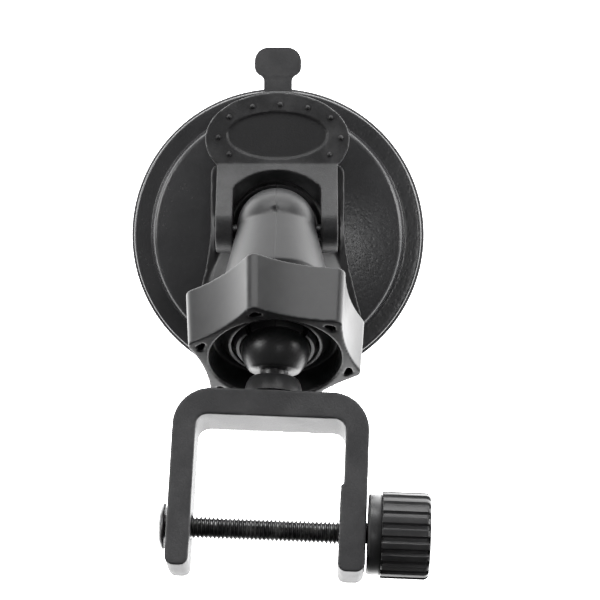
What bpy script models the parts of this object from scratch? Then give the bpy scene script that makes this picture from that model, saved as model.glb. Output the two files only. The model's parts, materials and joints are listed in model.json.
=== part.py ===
"""Suction-cup camera mount with a cam lever, a clamped ball joint and a U bracket with a through screw.

All dimensions are in millimetres and are converted to metres as each mesh is made. The origin is the
centre of the suction face on the glass, +Z runs out of the glass along the cup's axis, +Y points to the
pull tab, and the stem leans towards -Y. The model stands as locked: lever down, nut tight.
"""

import math

import bmesh
import bpy
from mathutils import Matrix, Vector

MM = 0.001
GAP = 0.3

# Suction cup
CUP_R = 27.5
LIP_INNER_R = 21.5
MEMBRANE_T = 1.3
DISH_Z = 1.8
DISH_R = 9.0
HUB_R = 9.2
HUB_TOP = 4.8
CUP_STEPS = 48
TAB_Z = (0.05, 1.5)
TAB_NECK = 2.65
TAB_HALF = 4.4
TAB_TIP = 35.2

# Membrane stud
FLANGE_R = 8.2
FLANGE_Z = (2.8, 3.9)
STUD_R = 3.5
STUD_TOP = 16.1
LOCK_TRAVEL = 1.5

# Dome housing
HOUSING_R = 26.9
RIM_Z = (1.65, 3.0)
DOME_R = 23.5
SHOULDER_R = 22.3
SHOULDER_Z = 4.8
DOME_TOP = 7.0
DOME_WALL = 1.4
CENTRE_HOLE_R = 7.1

# Saddle and leaning stem
SADDLE_TOP = 7.8
SADDLE_HALF = 12.45
SADDLE_FRONT = 13.0
SADDLE_RIM = 21.8
SADDLE_LIFT = 0.9
SADDLE_FLAT_R = 11.4
POST_R = 7.2
POST_Y = 0.8
SPIGOT_R = 6.8
SPIGOT_Z = 5.6
ELBOW = Vector((0.0, 0.0, 15.5))
LEAN = math.radians(53.0)
CONE_GROWTH = 0.19
CONE_END = 13.5
THREAD_R = 10.2
THREAD_S = (14.6, 20.5)
FINGER_ROOT = (24.6, 7.25)
FINGER_TIP = (26.8, 7.0)
SPRING_BORE = (5.1, 9.4)
FLARE_Y = -9.5
FLARE_SCALE_Y = 0.94
FLARE_PROFILE = ((7.0, 16.5), (7.6, 13.0), (9.0, 10.0), (11.6, 7.2), (13.6, 5.0))
CAP_RADII = (12.3, 14.0, 17.0, 20.0, SADDLE_RIM + 1.0)
SLOT_HALF = 0.6
SLOT_REACH = (2.0, 13.0)
SLOT_S = (19.5, 30.0)
SLOT_TURN = 41.0

# Screws from below and return spring
SCREW_SPOTS = (("base_screw_left", -5.8, -10.5), ("base_screw_right", 5.8, -10.5))
PILOT_R = 1.3
BASE_THREAD_R = 1.0
BASE_HEAD_R = 1.9
BASE_HEAD_T = 1.1
BASE_TIP_Z = 11.6
SPRING_WIRE = 0.35
SPRING_R = 4.4
SPRING_TURNS = 2.5

# Lever
PIN_Z = 13.2
PIN_R = 1.5
PIN_HALF = 10.6
ARM_OUT = 11.1
ARM_IN = 8.0
ARM_TOP_R = 4.95
CAM_LOCK_R = 5.0
CAM_BACK_R = 3.5
RAMP = math.radians(37.0)
RAMP_FOOT = (12.6, 9.9)
ARCH = (1.25, 5.4)
PAD_CENTRE = (17.3, 8.2)
PAD_SEMI = (13.3, 8.7)
PAD_T = 2.2
PAD_DROP = math.radians(5.5)
RECESS_SEMI = (9.3, 4.4)
RECESS_DEPTH = 0.35

# Ball joint and lock nut
BALL_S = 25.8
BALL_R = 6.1
SOCKET_R = 6.3
BALL_FLAT = 4.3
NECK_R = 2.4
FOOT = ((2.4, 5.4), (4.3, 5.8), (4.7, 6.6), (5.2, 8.75))
SEAT_R = 5.2
SEAT_S = 17.2
NUT_S = (17.25, 28.4)
NUT_TIP_R = 16.25
NUT_FRONT_SCALE = 0.95
NUT_TIP_ROUND = 1.7
NUT_VALLEY_R = 13.45
NUT_TURN = math.radians(-16.1)
NUT_LOBES = 6
NUT_MOUTH = ((11.4, 18.15), (11.4, 15.0))
MOAT = ((11.2, 23.5), (9.9, 23.5), (8.2, 25.6))
THROAT = (FINGER_TIP[1] + 0.6, 25.0, 25.5)
FUNNEL_R = 11.5
LOBE_POCKET = ((14.1, 0.0, 0.4), (12.7, 2.2, 0.4), (12.7, -2.2, 0.4))
LOBE_POCKET_S = (21.0, 30.0)

# Bracket, screw and knob, in the bracket's frame: -Y along the legs, +X towards the knob
BRACKET_TILT = math.radians(-18.0)
BRACKET_ROLL = math.radians(-2.3)
BAR_Y = 9.05
BAR_T = 4.7
LEG_END = 39.8
HALF_WIDTH = 16.75
LEG_T = 4.0
STRAP = 11.0
PAD_STEP = 0.6
PAD_START = 25.2
SCREW_Y = 32.3
SCREW_R = 2.0
SCREW_END = 25.0
HEAD_X = (-18.5, -17.25)
HEAD_R = 3.95
SHANK_R = 2.2
SHANK_END = 12.2
COLLAR_R = 6.9
COLLAR_X = (17.05, 19.35)
KNOB_R = 7.35
KNOB_END = 27.6
FLUTES = 21
FLUTE = ((0.0, 0.0), (0.62, 0.0), (0.74, 0.35), (0.88, 0.35))
INSERT_X = (17.5, 23.5)
INSERT_R = (2.3, 3.6)

PARTS = "suction_camera_mount"
CUTTERS = "cutters"


# ---------------------------------------------------------------- scene and material helpers


def clear_scene():
    """Empties the file and makes the part and cutter collections."""
    for obj in list(bpy.data.objects):
        bpy.data.objects.remove(obj, do_unlink=True)
    for name in (PARTS, CUTTERS):
        collection = bpy.data.collections.new(name)
        bpy.context.scene.collection.children.link(collection)


def material(name, colour, roughness, metallic=0.0):
    """Returns a Principled material, made once for each name."""
    found = bpy.data.materials.get(name)
    if found:
        return found
    made = bpy.data.materials.new(name)
    made.use_nodes = True
    shader = made.node_tree.nodes["Principled BSDF"]
    shader.inputs["Base Color"].default_value = (*colour, 1.0)
    shader.inputs["Roughness"].default_value = roughness
    shader.inputs["Metallic"].default_value = metallic
    return made


def place(name, mesh, frame=None, cutter=False):
    """Adds a mesh as an object in its collection, under a frame empty if one is given."""
    obj = bpy.data.objects.new(name, mesh)
    bpy.data.collections[CUTTERS if cutter else PARTS].objects.link(obj)
    obj.parent = frame
    if cutter:
        obj.hide_render = True
        obj.display_type = "WIRE"
    else:
        mesh.shade_smooth()
        mesh.set_sharp_from_angle(angle=math.radians(35.0))
    return obj


def frame_empty(name, origin, rotation):
    """Adds an empty that carries the pieces of a tilted sub-assembly."""
    empty = bpy.data.objects.new(name, None)
    bpy.data.collections[PARTS].objects.link(empty)
    empty.matrix_world = Matrix.Translation(origin * MM) @ rotation
    return empty


# ---------------------------------------------------------------- shape helpers


def mesh_of(bm, name):
    """Turns a bmesh in millimetres into a mesh in metres."""
    bmesh.ops.scale(bm, vec=(MM, MM, MM), verts=bm.verts)
    bmesh.ops.recalc_face_normals(bm, faces=bm.faces)
    mesh = bpy.data.meshes.new(name)
    bm.to_mesh(mesh)
    bm.free()
    return mesh


def turned(name, profile, steps, frame=None, cutter=False):
    """Turns an (r, z) profile, listed from its top down the outer side, about Z."""
    bm = bmesh.new()
    verts = [bm.verts.new((r, 0.0, z)) for r, z in profile]
    for first, second in zip(verts, verts[1:]):
        bm.edges.new((first, second))
    bmesh.ops.scale(bm, vec=(MM, MM, MM), verts=bm.verts)
    mesh = bpy.data.meshes.new(name)
    bm.to_mesh(mesh)
    bm.free()
    obj = place(name, mesh, frame, cutter)
    screw = obj.modifiers.new("turn", "SCREW")
    screw.steps = screw.render_steps = steps
    screw.use_merge_vertices = True
    screw.merge_threshold = 0.00001
    return obj


def cylinder(name, radius, start, end, frame=None, cutter=False, axis="Z", centre=(0.0, 0.0), steps=32):
    """A cylinder from start to end along an axis; centre gives the other two coordinates."""
    bm = bmesh.new()
    bmesh.ops.create_cone(
        bm, cap_ends=True, segments=steps, radius1=radius, radius2=radius, depth=end - start
    )
    middle = (start + end) / 2
    if axis == "X":
        turn, where = Matrix.Rotation(math.pi / 2, 3, "Y"), (middle, *centre)
    elif axis == "Y":
        turn, where = Matrix.Rotation(-math.pi / 2, 3, "X"), (centre[0], middle, centre[1])
    else:
        turn, where = Matrix.Identity(3), (*centre, middle)
    bmesh.ops.rotate(bm, matrix=turn, verts=bm.verts)
    bmesh.ops.translate(bm, vec=where, verts=bm.verts)
    return place(name, mesh_of(bm, name), frame, cutter)


def box(name, low, high, frame=None, cutter=False):
    """A box between two corners."""
    bm = bmesh.new()
    bmesh.ops.create_cube(bm, size=1.0)
    size = [b - a for a, b in zip(low, high)]
    bmesh.ops.scale(bm, vec=size, verts=bm.verts)
    bmesh.ops.translate(bm, vec=[(a + b) / 2 for a, b in zip(low, high)], verts=bm.verts)
    return place(name, mesh_of(bm, name), frame, cutter)


def sphere(name, radius, centre, frame=None, cutter=False):
    """A round ball about a centre."""
    bm = bmesh.new()
    bmesh.ops.create_uvsphere(bm, u_segments=40, v_segments=20, radius=radius)
    bmesh.ops.translate(bm, vec=centre, verts=bm.verts)
    return place(name, mesh_of(bm, name), frame, cutter)


def plate(name, outline, low, high, frame=None, cutter=False, stand=None, top_scale=1.0):
    """Extrudes a flat (x, y) outline from z = low to z = high.

    stand is an optional matrix, in millimetres, that then turns and moves the plate. top_scale
    shrinks the face at high about the frame's axis, which gives the sides a draft.
    """
    curve = bpy.data.curves.new(name, "CURVE")
    curve.dimensions = "2D"
    curve.fill_mode = "BOTH"
    curve.extrude = (high - low) / 2
    spline = curve.splines.new("POLY")
    spline.points.add(len(outline) - 1)
    for point, (x, y) in zip(spline.points, outline):
        point.co = (x, y, 0.0, 1.0)
    spline.use_cyclic_u = True
    helper = bpy.data.objects.new(name + "_outline", curve)
    bpy.context.scene.collection.objects.link(helper)
    evaluated = helper.evaluated_get(bpy.context.evaluated_depsgraph_get())
    flat = bpy.data.meshes.new_from_object(evaluated)
    bpy.data.objects.remove(helper, do_unlink=True)
    bm = bmesh.new()
    bm.from_mesh(flat)
    bpy.data.meshes.remove(flat)
    bmesh.ops.remove_doubles(bm, verts=bm.verts, dist=0.0005)
    top = [v for v in bm.verts if v.co.z > 0.0]
    bmesh.ops.scale(bm, vec=(top_scale, top_scale, 1.0), verts=top)
    bmesh.ops.translate(bm, vec=(0.0, 0.0, (low + high) / 2), verts=bm.verts)
    if stand is not None:
        bmesh.ops.transform(bm, matrix=stand, verts=bm.verts)
    return place(name, mesh_of(bm, name), frame, cutter)


def boolean(target, tool, operation="DIFFERENCE"):
    """Cuts, joins or intersects a target with a tool by an exact Boolean."""
    modifier = target.modifiers.new(f"{operation.lower()}_{tool.name}", "BOOLEAN")
    modifier.operation = operation
    modifier.object = tool
    modifier.solver = "EXACT"
    return target


def bevel(target, width, segments=2):
    """Rounds a target's sharp edges."""
    modifier = target.modifiers.new("rounding", "BEVEL")
    modifier.width = width * MM
    modifier.segments = segments
    modifier.limit_method = "ANGLE"
    modifier.angle_limit = math.radians(40.0)


def arc(centre, radius, start, end, count):
    """Points on an arc between two angles in radians, both ends included."""
    angles = [start + (end - start) * i / count for i in range(count + 1)]
    return [(centre[0] + radius * math.cos(a), centre[1] + radius * math.sin(a)) for a in angles]


def filleted(corners, count=5):
    """Turns (x, y, radius) corners into an outline whose corners are round."""
    points = []
    for i, (x, y, radius) in enumerate(corners):
        here = Vector((x, y))
        back = (Vector(corners[i - 1][:2]) - here).normalized()
        ahead = (Vector(corners[(i + 1) % len(corners)][:2]) - here).normalized()
        if radius <= 0.0:
            points.append((x, y))
            continue
        half = back.angle(ahead) / 2
        centre = here + (back + ahead).normalized() * radius / math.sin(half)
        start = here + back * radius / math.tan(half) - centre
        end = here + ahead * radius / math.tan(half) - centre
        for k in range(count + 1):
            direction = start.lerp(end, k / count).normalized()
            points.append(tuple(centre + direction * radius))
    return points


def ellipse(centre, semi, count, first=0.0, last=2 * math.pi):
    """Points on an ellipse; a part of it ends at both angles, and a whole one doesn't repeat its start."""
    whole = last - first >= 2 * math.pi
    angles = [first + (last - first) * i / count for i in range(count if whole else count + 1)]
    return [(centre[0] + semi[0] * math.cos(a), centre[1] + semi[1] * math.sin(a)) for a in angles]


def dome_z(radius):
    """Height of the dome's outer surface inside its shoulder."""
    return DOME_TOP - (DOME_TOP - SHOULDER_Z) * (radius / SHOULDER_R) ** 2


# ---------------------------------------------------------------- suction cup


def suction_membrane():
    """Soft disc with a flat sealing lip, a dished middle, a hub around the stud flange and a pull tab."""
    dish = []
    for i in range(7):
        share = i / 6
        radius = LIP_INNER_R + (DISH_R - LIP_INNER_R) * share
        dish.append((radius, DISH_Z * (1 - math.cos(math.pi * share)) / 2))
    upper = [(r, z + MEMBRANE_T) for r, z in reversed(dish)]
    pocket_r, pocket = FLANGE_R + GAP, (FLANGE_Z[0] - GAP, FLANGE_Z[1] + GAP)
    profile = [(0.0, pocket[0]), (pocket_r, pocket[0]), (pocket_r, pocket[1])]
    profile += [(STUD_R + GAP, pocket[1]), (STUD_R + GAP, HUB_TOP), (HUB_R - 0.6, HUB_TOP)]
    profile += [(HUB_R, HUB_TOP - 0.6), (HUB_R + 0.4, upper[0][1] + 0.1)]
    profile += upper[1:] + [(CUP_R - 0.3, MEMBRANE_T), (CUP_R, MEMBRANE_T - 0.3), (CUP_R, 0.25)]
    profile += [(CUP_R - 0.25, 0.0)] + dish + [(0.0, DISH_Z)]
    membrane = turned("suction_membrane", profile, CUP_STEPS)
    membrane.data.materials.append(material("soft_black", (0.02, 0.02, 0.021), 0.55))
    half = [(TAB_NECK, 24.0, 0.0), (TAB_NECK, 29.9, 1.2), (TAB_HALF, 30.2, 1.6), (TAB_HALF, TAB_TIP, 2.6)]
    corners = half + [(-x, y, r) for x, y, r in reversed(half)]
    tab = plate("pull_tab", filleted(corners), *TAB_Z, cutter=True)
    boolean(membrane, tab, "UNION")
    return membrane


def membrane_stud():
    """Moulded-in flange and post that pull the membrane's middle; the lever's pin crosses its eye."""
    profile = [(0.0, STUD_TOP), (STUD_R - 0.8, STUD_TOP), (STUD_R, STUD_TOP - 0.8)]
    profile += [(STUD_R, FLANGE_Z[1]), (FLANGE_R, FLANGE_Z[1]), (FLANGE_R, FLANGE_Z[0]), (0.0, FLANGE_Z[0])]
    stud = turned("membrane_stud", profile, 32)
    stud.data.materials.append(material("stud_plastic", (0.05, 0.05, 0.052), 0.5))
    eye = cylinder("eye_bore", PIN_R + GAP, -8, 8, cutter=True, axis="X", centre=(0.0, PIN_Z), steps=24)
    boolean(stud, eye)
    return stud


def return_spring():
    """Coil around the stud that pushes the membrane back down when the lever opens."""
    per_turn = 14
    low, high = HUB_TOP + GAP + SPRING_WIRE, SPRING_BORE[1] - GAP - SPRING_WIRE
    curve = bpy.data.curves.new("return_spring", "CURVE")
    curve.dimensions = "3D"
    curve.bevel_depth = SPRING_WIRE * MM
    curve.bevel_resolution = 2
    curve.use_fill_caps = True
    count = int(SPRING_TURNS * per_turn)
    spline = curve.splines.new("POLY")
    spline.points.add(count)
    for i, point in enumerate(spline.points):
        angle = 2 * math.pi * i / per_turn
        height = low + (high - low) * i / count
        x, y = SPRING_R * math.cos(angle), SPRING_R * math.sin(angle)
        point.co = (x * MM, y * MM, height * MM, 1.0)
    spring = bpy.data.objects.new("return_spring", curve)
    bpy.data.collections[PARTS].objects.link(spring)
    curve.materials.append(material("spring_steel", (0.6, 0.6, 0.62), 0.3, 1.0))
    return spring


def cup_housing():
    """Dome shell: a flat rim, a steep shoulder and a shallow crown with a hole for the stem's spigot."""
    crown = [CENTRE_HOLE_R + (SHOULDER_R - CENTRE_HOLE_R) * i / 6 for i in range(7)]
    profile = [(r, dome_z(r)) for r in crown]
    for angle in (65.0, 40.0, 15.0):
        a = math.radians(angle)
        reach, drop = DOME_R - SHOULDER_R, SHOULDER_Z - RIM_Z[1]
        profile.append((SHOULDER_R + reach * math.cos(a), RIM_Z[1] + drop * math.sin(a)))
    profile += [(DOME_R, RIM_Z[1]), (HOUSING_R - 0.5, RIM_Z[1]), (HOUSING_R, RIM_Z[1] - 0.45)]
    profile += [(HOUSING_R, RIM_Z[0]), (SHOULDER_R, RIM_Z[0])]
    profile += [(SHOULDER_R - 0.6, dome_z(SHOULDER_R) - DOME_WALL)]
    profile += [(r, dome_z(r) - DOME_WALL) for r in reversed(crown[:-1])]
    profile.append(profile[0])
    housing = turned("cup_housing", profile, CUP_STEPS)
    housing.data.materials.append(material("gloss_black", (0.012, 0.012, 0.013), 0.2))
    for name, x, y in SCREW_SPOTS:
        bore = cylinder(name + "_hole", PILOT_R, 2.0, 9.0, cutter=True, centre=(x, y), steps=16)
        boolean(housing, bore)
    return housing


def base_screws():
    """Two self-tapping screws, driven from below, that hold the saddle to the dome."""
    for name, x, y in SCREW_SPOTS:
        seat = dome_z(math.hypot(x, y) + BASE_HEAD_R) - DOME_WALL - GAP / 2
        end, tip = seat - BASE_HEAD_T, BASE_TIP_Z
        profile = [(0.0, tip), (0.6, tip - 0.4), (BASE_THREAD_R, tip - 1.2), (BASE_THREAD_R, seat)]
        profile += [(BASE_HEAD_R, seat), (BASE_HEAD_R, seat - 0.5), (1.2, end), (0.0, end)]
        screw = turned(name, profile, 16)
        screw.location = (x * MM, y * MM, 0.0)
        screw.data.materials.append(material("screw_steel", (0.55, 0.55, 0.56), 0.35, 1.0))


# ---------------------------------------------------------------- stem, seat and nut


def saddle_outline():
    """Plan of the saddle: straight by the lever, then flaring out to the dome's shoulder."""
    side = [(SADDLE_HALF, 0.0), (SADDLE_HALF + 0.5, -4.0), (13.9, -8.6), (15.6, -15.2)]
    start = math.atan2(-15.2, 15.6)
    rim = arc((0.0, 0.0), SADDLE_RIM, start, -math.pi - start, 16)
    front = [(SADDLE_HALF - 2.0, SADDLE_FRONT), (SADDLE_HALF, SADDLE_FRONT - 2.0)]
    mirrored = [(-x, y) for x, y in reversed(side)]
    return front + side + rim[1:-1] + mirrored + [(-x, y) for x, y in reversed(front)]


def collet(lean_frame):
    """Leaning cone with the split, threaded collet and the ball's socket at its end."""
    cone_end_r = POST_R + CONE_GROWTH * CONE_END
    outside = [(0.0, FINGER_TIP[0]), FINGER_TIP[::-1], FINGER_ROOT[::-1], (THREAD_R, THREAD_S[1])]
    outside += [(THREAD_R, THREAD_S[0]), (cone_end_r, CONE_END), (POST_R, 0.0), (5.0, -3.0), (0.0, -3.0)]
    cone = turned("stem_cone", outside, 48, lean_frame, cutter=True)
    first = math.asin((FINGER_TIP[0] + 1.0 - BALL_S) / SOCKET_R)
    last = -math.acos((SEAT_R + GAP) / SOCKET_R)
    inside = [(0.0, 40.0), (10.0, 40.0), (10.0, FINGER_TIP[0] + 2.0)]
    inside += [(r, BALL_S + s) for r, s in arc((0.0, 0.0), SOCKET_R, first, last, 8)]
    inside += [(SEAT_R + GAP, SEAT_S - GAP), (0.0, SEAT_S - GAP)]
    boolean(cone, turned("ball_socket", inside, 48, lean_frame, cutter=True))
    for index in range(4):
        low = (-SLOT_HALF, SLOT_REACH[0], SLOT_S[0])
        high = (SLOT_HALF, SLOT_REACH[1], SLOT_S[1])
        slot = box(f"collet_slot_{index + 1}", low, high, lean_frame, cutter=True)
        slot.rotation_euler = (0.0, 0.0, math.radians(SLOT_TURN + 90.0 * index))
        boolean(cone, slot)
    return cone


def ball_stem(lean_frame):
    """Saddle, upright post, leaning cone, threaded collet and ball socket, moulded in one piece."""
    stem = plate("ball_stem", saddle_outline(), 3.0, 12.0)
    stem.data.materials.append(material("satin_black", (0.03, 0.03, 0.031), 0.45))
    cap = [(0.0, SADDLE_TOP), (SADDLE_FLAT_R, SADDLE_TOP)]
    cap += [(r, dome_z(r) + SADDLE_LIFT) for r in CAP_RADII]
    cap += [(SADDLE_RIM + 1.0, 0.0), (0.0, 0.0)]
    boolean(stem, turned("saddle_cap", cap, CUP_STEPS, cutter=True), "INTERSECT")

    bell = [(0.0, FLARE_PROFILE[0][1]), *FLARE_PROFILE, (0.0, FLARE_PROFILE[-1][1])]
    flare = turned("stem_flare", bell, 40, cutter=True)
    flare.location = (0.0, FLARE_Y * MM, 0.0)
    flare.scale = (1.0, FLARE_SCALE_Y, 1.0)
    boolean(stem, flare, "UNION")
    post = cylinder("post_body", POST_R - 0.04, 6.9, ELBOW.z, cutter=True, centre=(0.0, POST_Y), steps=40)
    boolean(stem, post, "UNION")
    boolean(stem, sphere("elbow_ball", POST_R, (0.0, POST_Y, ELBOW.z), cutter=True), "UNION")

    boolean(stem, collet(lean_frame), "UNION")

    under = [(r, dome_z(r) + GAP) for r in (0.0, 8.0, *CAP_RADII)]
    under += [(SADDLE_RIM + 1.0, -1.0), (0.0, -1.0)]
    boolean(stem, turned("dome_clearance", under, CUP_STEPS, cutter=True))
    spigot = cylinder("spigot_body", SPIGOT_R, SPIGOT_Z, 8.5, cutter=True, steps=40)
    boolean(stem, spigot, "UNION")

    bore_r, bore_top = SPRING_BORE
    bore = [(0.0, STUD_TOP + 0.5), (STUD_R + GAP, STUD_TOP + 0.5), (STUD_R + GAP, bore_top)]
    bore += [(bore_r, bore_top), (bore_r, 0.0), (0.0, 0.0)]
    boolean(stem, turned("stud_bore", bore, 32, cutter=True))
    slot_half = PIN_R + GAP
    corners = [
        (-slot_half, PIN_Z - LOCK_TRAVEL - slot_half, 1.7),
        (slot_half, PIN_Z - LOCK_TRAVEL - slot_half, 1.7),
        (slot_half, PIN_Z + slot_half, 1.7),
        (-slot_half, PIN_Z + slot_half, 1.7),
    ]
    stand = Matrix(((0, 0, 1, 0), (1, 0, 0, 0), (0, 1, 0, 0), (0, 0, 0, 1)))
    boolean(stem, plate("pin_slot", filleted(corners), -12.0, 12.0, cutter=True, stand=stand))
    for name, x, y in SCREW_SPOTS:
        pilot = cylinder(name + "_pilot", PILOT_R, 3.0, 12.0, cutter=True, centre=(x, y), steps=16)
        boolean(stem, pilot)
    return stem


def ball_seat(lean_frame):
    """Friction cup behind the ball, at the bottom of the socket."""
    rim_angle = math.acos(SEAT_R / SOCKET_R)
    dish = arc((0.0, BALL_S), SOCKET_R, -math.pi / 2, -rim_angle, 8)
    dish[0] = (0.0, BALL_S - SOCKET_R)
    profile = dish + [(SEAT_R, SEAT_S), (0.0, SEAT_S)]
    seat = turned("ball_seat", profile, 40, lean_frame)
    seat.data.materials.append(material("seat_grey", (0.1, 0.1, 0.1), 0.7))
    return seat


def lobed_outline():
    """Outline of the nut: round lobe tips joined by concave arcs that meet them on a tangent."""
    tip_centre = NUT_TIP_R - NUT_TIP_ROUND
    half = math.pi / NUT_LOBES
    lean = tip_centre * math.cos(half)
    reach = NUT_VALLEY_R**2 + tip_centre**2 - 2 * NUT_VALLEY_R * lean - NUT_TIP_ROUND**2
    hollow = reach / (2 * (NUT_TIP_ROUND - NUT_VALLEY_R + lean))
    valley = Vector((math.cos(half), math.sin(half))) * (NUT_VALLEY_R + hollow)
    toward = valley - Vector((tip_centre, 0.0))
    tip_end = math.atan2(toward.y, toward.x)
    valley_start = tip_end + math.pi
    valley_end = 2 * half - tip_end + math.pi
    points = []
    for lobe in range(NUT_LOBES):
        turn = Matrix.Rotation(NUT_TURN + 2 * half * lobe, 2)
        stretch = arc((tip_centre, 0.0), NUT_TIP_ROUND, -tip_end, tip_end, 6)
        stretch += arc(valley, hollow, valley_start, valley_end, 8)[1:-1]
        points += [tuple(turn @ Vector(p)) for p in stretch]
    return points


def lock_nut(lean_frame):
    """Six-lobed nut: threaded bore, inner cone that squeezes the collet, cored ring and lobe pockets."""
    nut = plate("lock_nut", lobed_outline(), *NUT_S, frame=lean_frame, top_scale=NUT_FRONT_SCALE)
    nut.data.materials.append(material("satin_black", (0.03, 0.03, 0.031), 0.45))
    bore_r, (throat_r, throat_low, throat_high) = THREAD_R + 0.4, THROAT
    bore = [(0.0, 30.0), (13.6, 30.0), (FUNNEL_R, NUT_S[1] + 0.02), *MOAT]
    bore += [(throat_r, throat_high), (throat_r, throat_low)]
    bore += [(bore_r, THREAD_S[1] + 0.1), (bore_r, 18.55), *NUT_MOUTH, (0.0, 15.0)]
    boolean(nut, turned("nut_bore", bore, 48, lean_frame, cutter=True))
    for lobe in range(NUT_LOBES):
        turn = Matrix.Rotation(NUT_TURN + 2 * math.pi * lobe / NUT_LOBES, 4, "Z")
        outline = filleted(LOBE_POCKET, 2)
        name = f"lobe_pocket_{lobe + 1}"
        boolean(nut, plate(name, outline, *LOBE_POCKET_S, lean_frame, cutter=True, stand=turn))
    return nut


# ---------------------------------------------------------------- lever


def lever_profile():
    """Side view of the lever's arms as (y, z): ramp, round top, cam spiral and flat foot."""
    points = [RAMP_FOOT]
    first = math.pi / 2 - RAMP
    for i in range(15):
        share = i / 14
        angle = first + (math.pi - first) * share
        radius = ARM_TOP_R + (CAM_BACK_R - ARM_TOP_R) * share
        points.append((radius * math.cos(angle), PIN_Z + radius * math.sin(angle)))
    for i in range(1, 13):
        share = i / 12
        angle = math.pi * (1 + share / 2)
        radius = CAM_BACK_R + (CAM_LOCK_R - CAM_BACK_R) * share
        points.append((radius * math.cos(angle), PIN_Z + radius * math.sin(angle)))
    return points + [(9.4, PIN_Z - CAM_LOCK_R), (RAMP_FOOT[0] + 0.9, 7.75), (RAMP_FOOT[0] + 0.9, 9.2)]


def cam_lever():
    """Lever with two cam arms, a sloping crosspiece with an arched cut-out and an oval thumb pad."""
    on_side = Matrix(((0, 0, 1, 0), (1, 0, 0, 0), (0, 1, 0, 0), (0, 0, 0, 1)))
    lever = plate("cam_lever", lever_profile(), -ARM_OUT, ARM_OUT, stand=on_side)
    lever.data.materials.append(material("matte_black", (0.028, 0.028, 0.029), 0.6))
    drop = Matrix.Translation((0.0, *PAD_CENTRE)) @ Matrix.Rotation(-PAD_DROP, 4, "X")
    corner = math.asin((RAMP_FOOT[0] - PAD_CENTRE[0]) / PAD_SEMI[1])
    oval = ellipse((0.0, 0.0), PAD_SEMI, 40, corner, math.pi - corner)
    pad = plate("thumb_pad", oval, -PAD_T / 2, PAD_T / 2, cutter=True, stand=drop)
    boolean(lever, pad, "UNION")
    inset = ellipse((0.0, 0.7), RECESS_SEMI, 32)
    recess = plate("pad_recess", inset, PAD_T / 2 - RECESS_DEPTH, PAD_T, cutter=True, stand=drop)
    boolean(lever, recess)

    depth = ARCH[1] - ARCH[0]
    arch_r = (ARM_IN**2 + depth**2) / (2 * depth)
    spread = math.asin(ARM_IN / arch_r)
    crown = arc((0.0, ARCH[0] + arch_r), arch_r, -math.pi / 2 - spread, -math.pi / 2 + spread, 12)
    cutout = crown + [(ARM_IN, 40.0), (-ARM_IN, 40.0)]
    up_ramp = Vector((0.0, -math.cos(RAMP), math.sin(RAMP)))
    normal = Vector((1.0, 0.0, 0.0)).cross(up_ramp)
    stand = Matrix.Translation((0.0, *RAMP_FOOT)) @ Matrix(
        ((1, 0, 0, 0), (0, up_ramp.y, normal.y, 0), (0, up_ramp.z, normal.z, 0), (0, 0, 0, 1))
    )
    boolean(lever, plate("arm_cutout", cutout, -40.0, 40.0, cutter=True, stand=stand))
    bore = cylinder("arm_bore", PIN_R + GAP, -20, 20, cutter=True, axis="X", centre=(0.0, PIN_Z), steps=24)
    boolean(lever, bore)
    return lever


def lever_pin():
    """Steel pin through the arms, the post's slot and the stud's eye."""
    pin = cylinder("lever_pin", PIN_R, -PIN_HALF, PIN_HALF, axis="X", centre=(0.0, PIN_Z), steps=24)
    pin.data.materials.append(material("pin_steel", (0.6, 0.6, 0.61), 0.3, 1.0))
    return pin


# ---------------------------------------------------------------- bracket, screw and knob


def ball_stud(bracket_frame):
    """Ball with a flat where the neck starts, a short neck, a cone and a shank in the bracket's bar."""
    profile = arc((0.0, 0.0), BALL_R, -math.pi / 2, math.asin(BALL_FLAT / BALL_R), 14)
    profile[0] = (0.0, -BALL_R)
    profile += [(NECK_R, BALL_FLAT), *FOOT, (SHANK_R, FOOT[-1][1])]
    profile += [(SHANK_R, SHANK_END), (0.0, SHANK_END)]
    along_legs = [(r, -z) for r, z in profile]
    stud = turned("ball_stud", along_legs, 40, bracket_frame)
    stud.rotation_euler = (-math.pi / 2, 0.0, 0.0)
    stud.data.materials.append(material("gloss_black", (0.012, 0.012, 0.013), 0.2))
    return stud


def u_bracket(bracket_frame):
    """U-shaped strap with round corners; the knob-side leg has a raised pad around the screw hole."""
    inner, step = HALF_WIDTH - LEG_T, HALF_WIDTH - LEG_T - PAD_STEP
    corners = [
        (-HALF_WIDTH, -LEG_END, 1.6),
        (-HALF_WIDTH, -BAR_Y, 6.5),
        (HALF_WIDTH, -BAR_Y, 6.5),
        (HALF_WIDTH, -LEG_END, 1.6),
        (step, -LEG_END, 1.4),
        (step, -PAD_START, 0.0),
        (inner, -PAD_START + 0.4, 0.0),
        (inner, -BAR_Y - BAR_T, 2.0),
        (-inner, -BAR_Y - BAR_T, 2.0),
        (-inner, -LEG_END, 1.4),
    ]
    bracket = plate("u_bracket", filleted(corners, 6), -STRAP / 2, STRAP / 2, bracket_frame)
    bracket.data.materials.append(material("matte_black", (0.028, 0.028, 0.029), 0.6))
    bevel(bracket, 0.9)
    across = cylinder(
        "screw_bores", SCREW_R + GAP, -20, 20, bracket_frame, True, axis="X", centre=(-SCREW_Y, 0.0)
    )
    boolean(bracket, across)
    depth = SHANK_END + GAP
    shank = cylinder("shank_bore", SHANK_R + GAP, -depth, -6, bracket_frame, True, axis="Y", steps=24)
    boolean(bracket, shank)
    return bracket


def along_screw(obj):
    """Lays a turned piece, modelled along Z, on the clamp screw's axis."""
    obj.rotation_euler = (0.0, math.pi / 2, 0.0)
    obj.location = (0.0, -SCREW_Y * MM, 0.0)
    return obj


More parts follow.
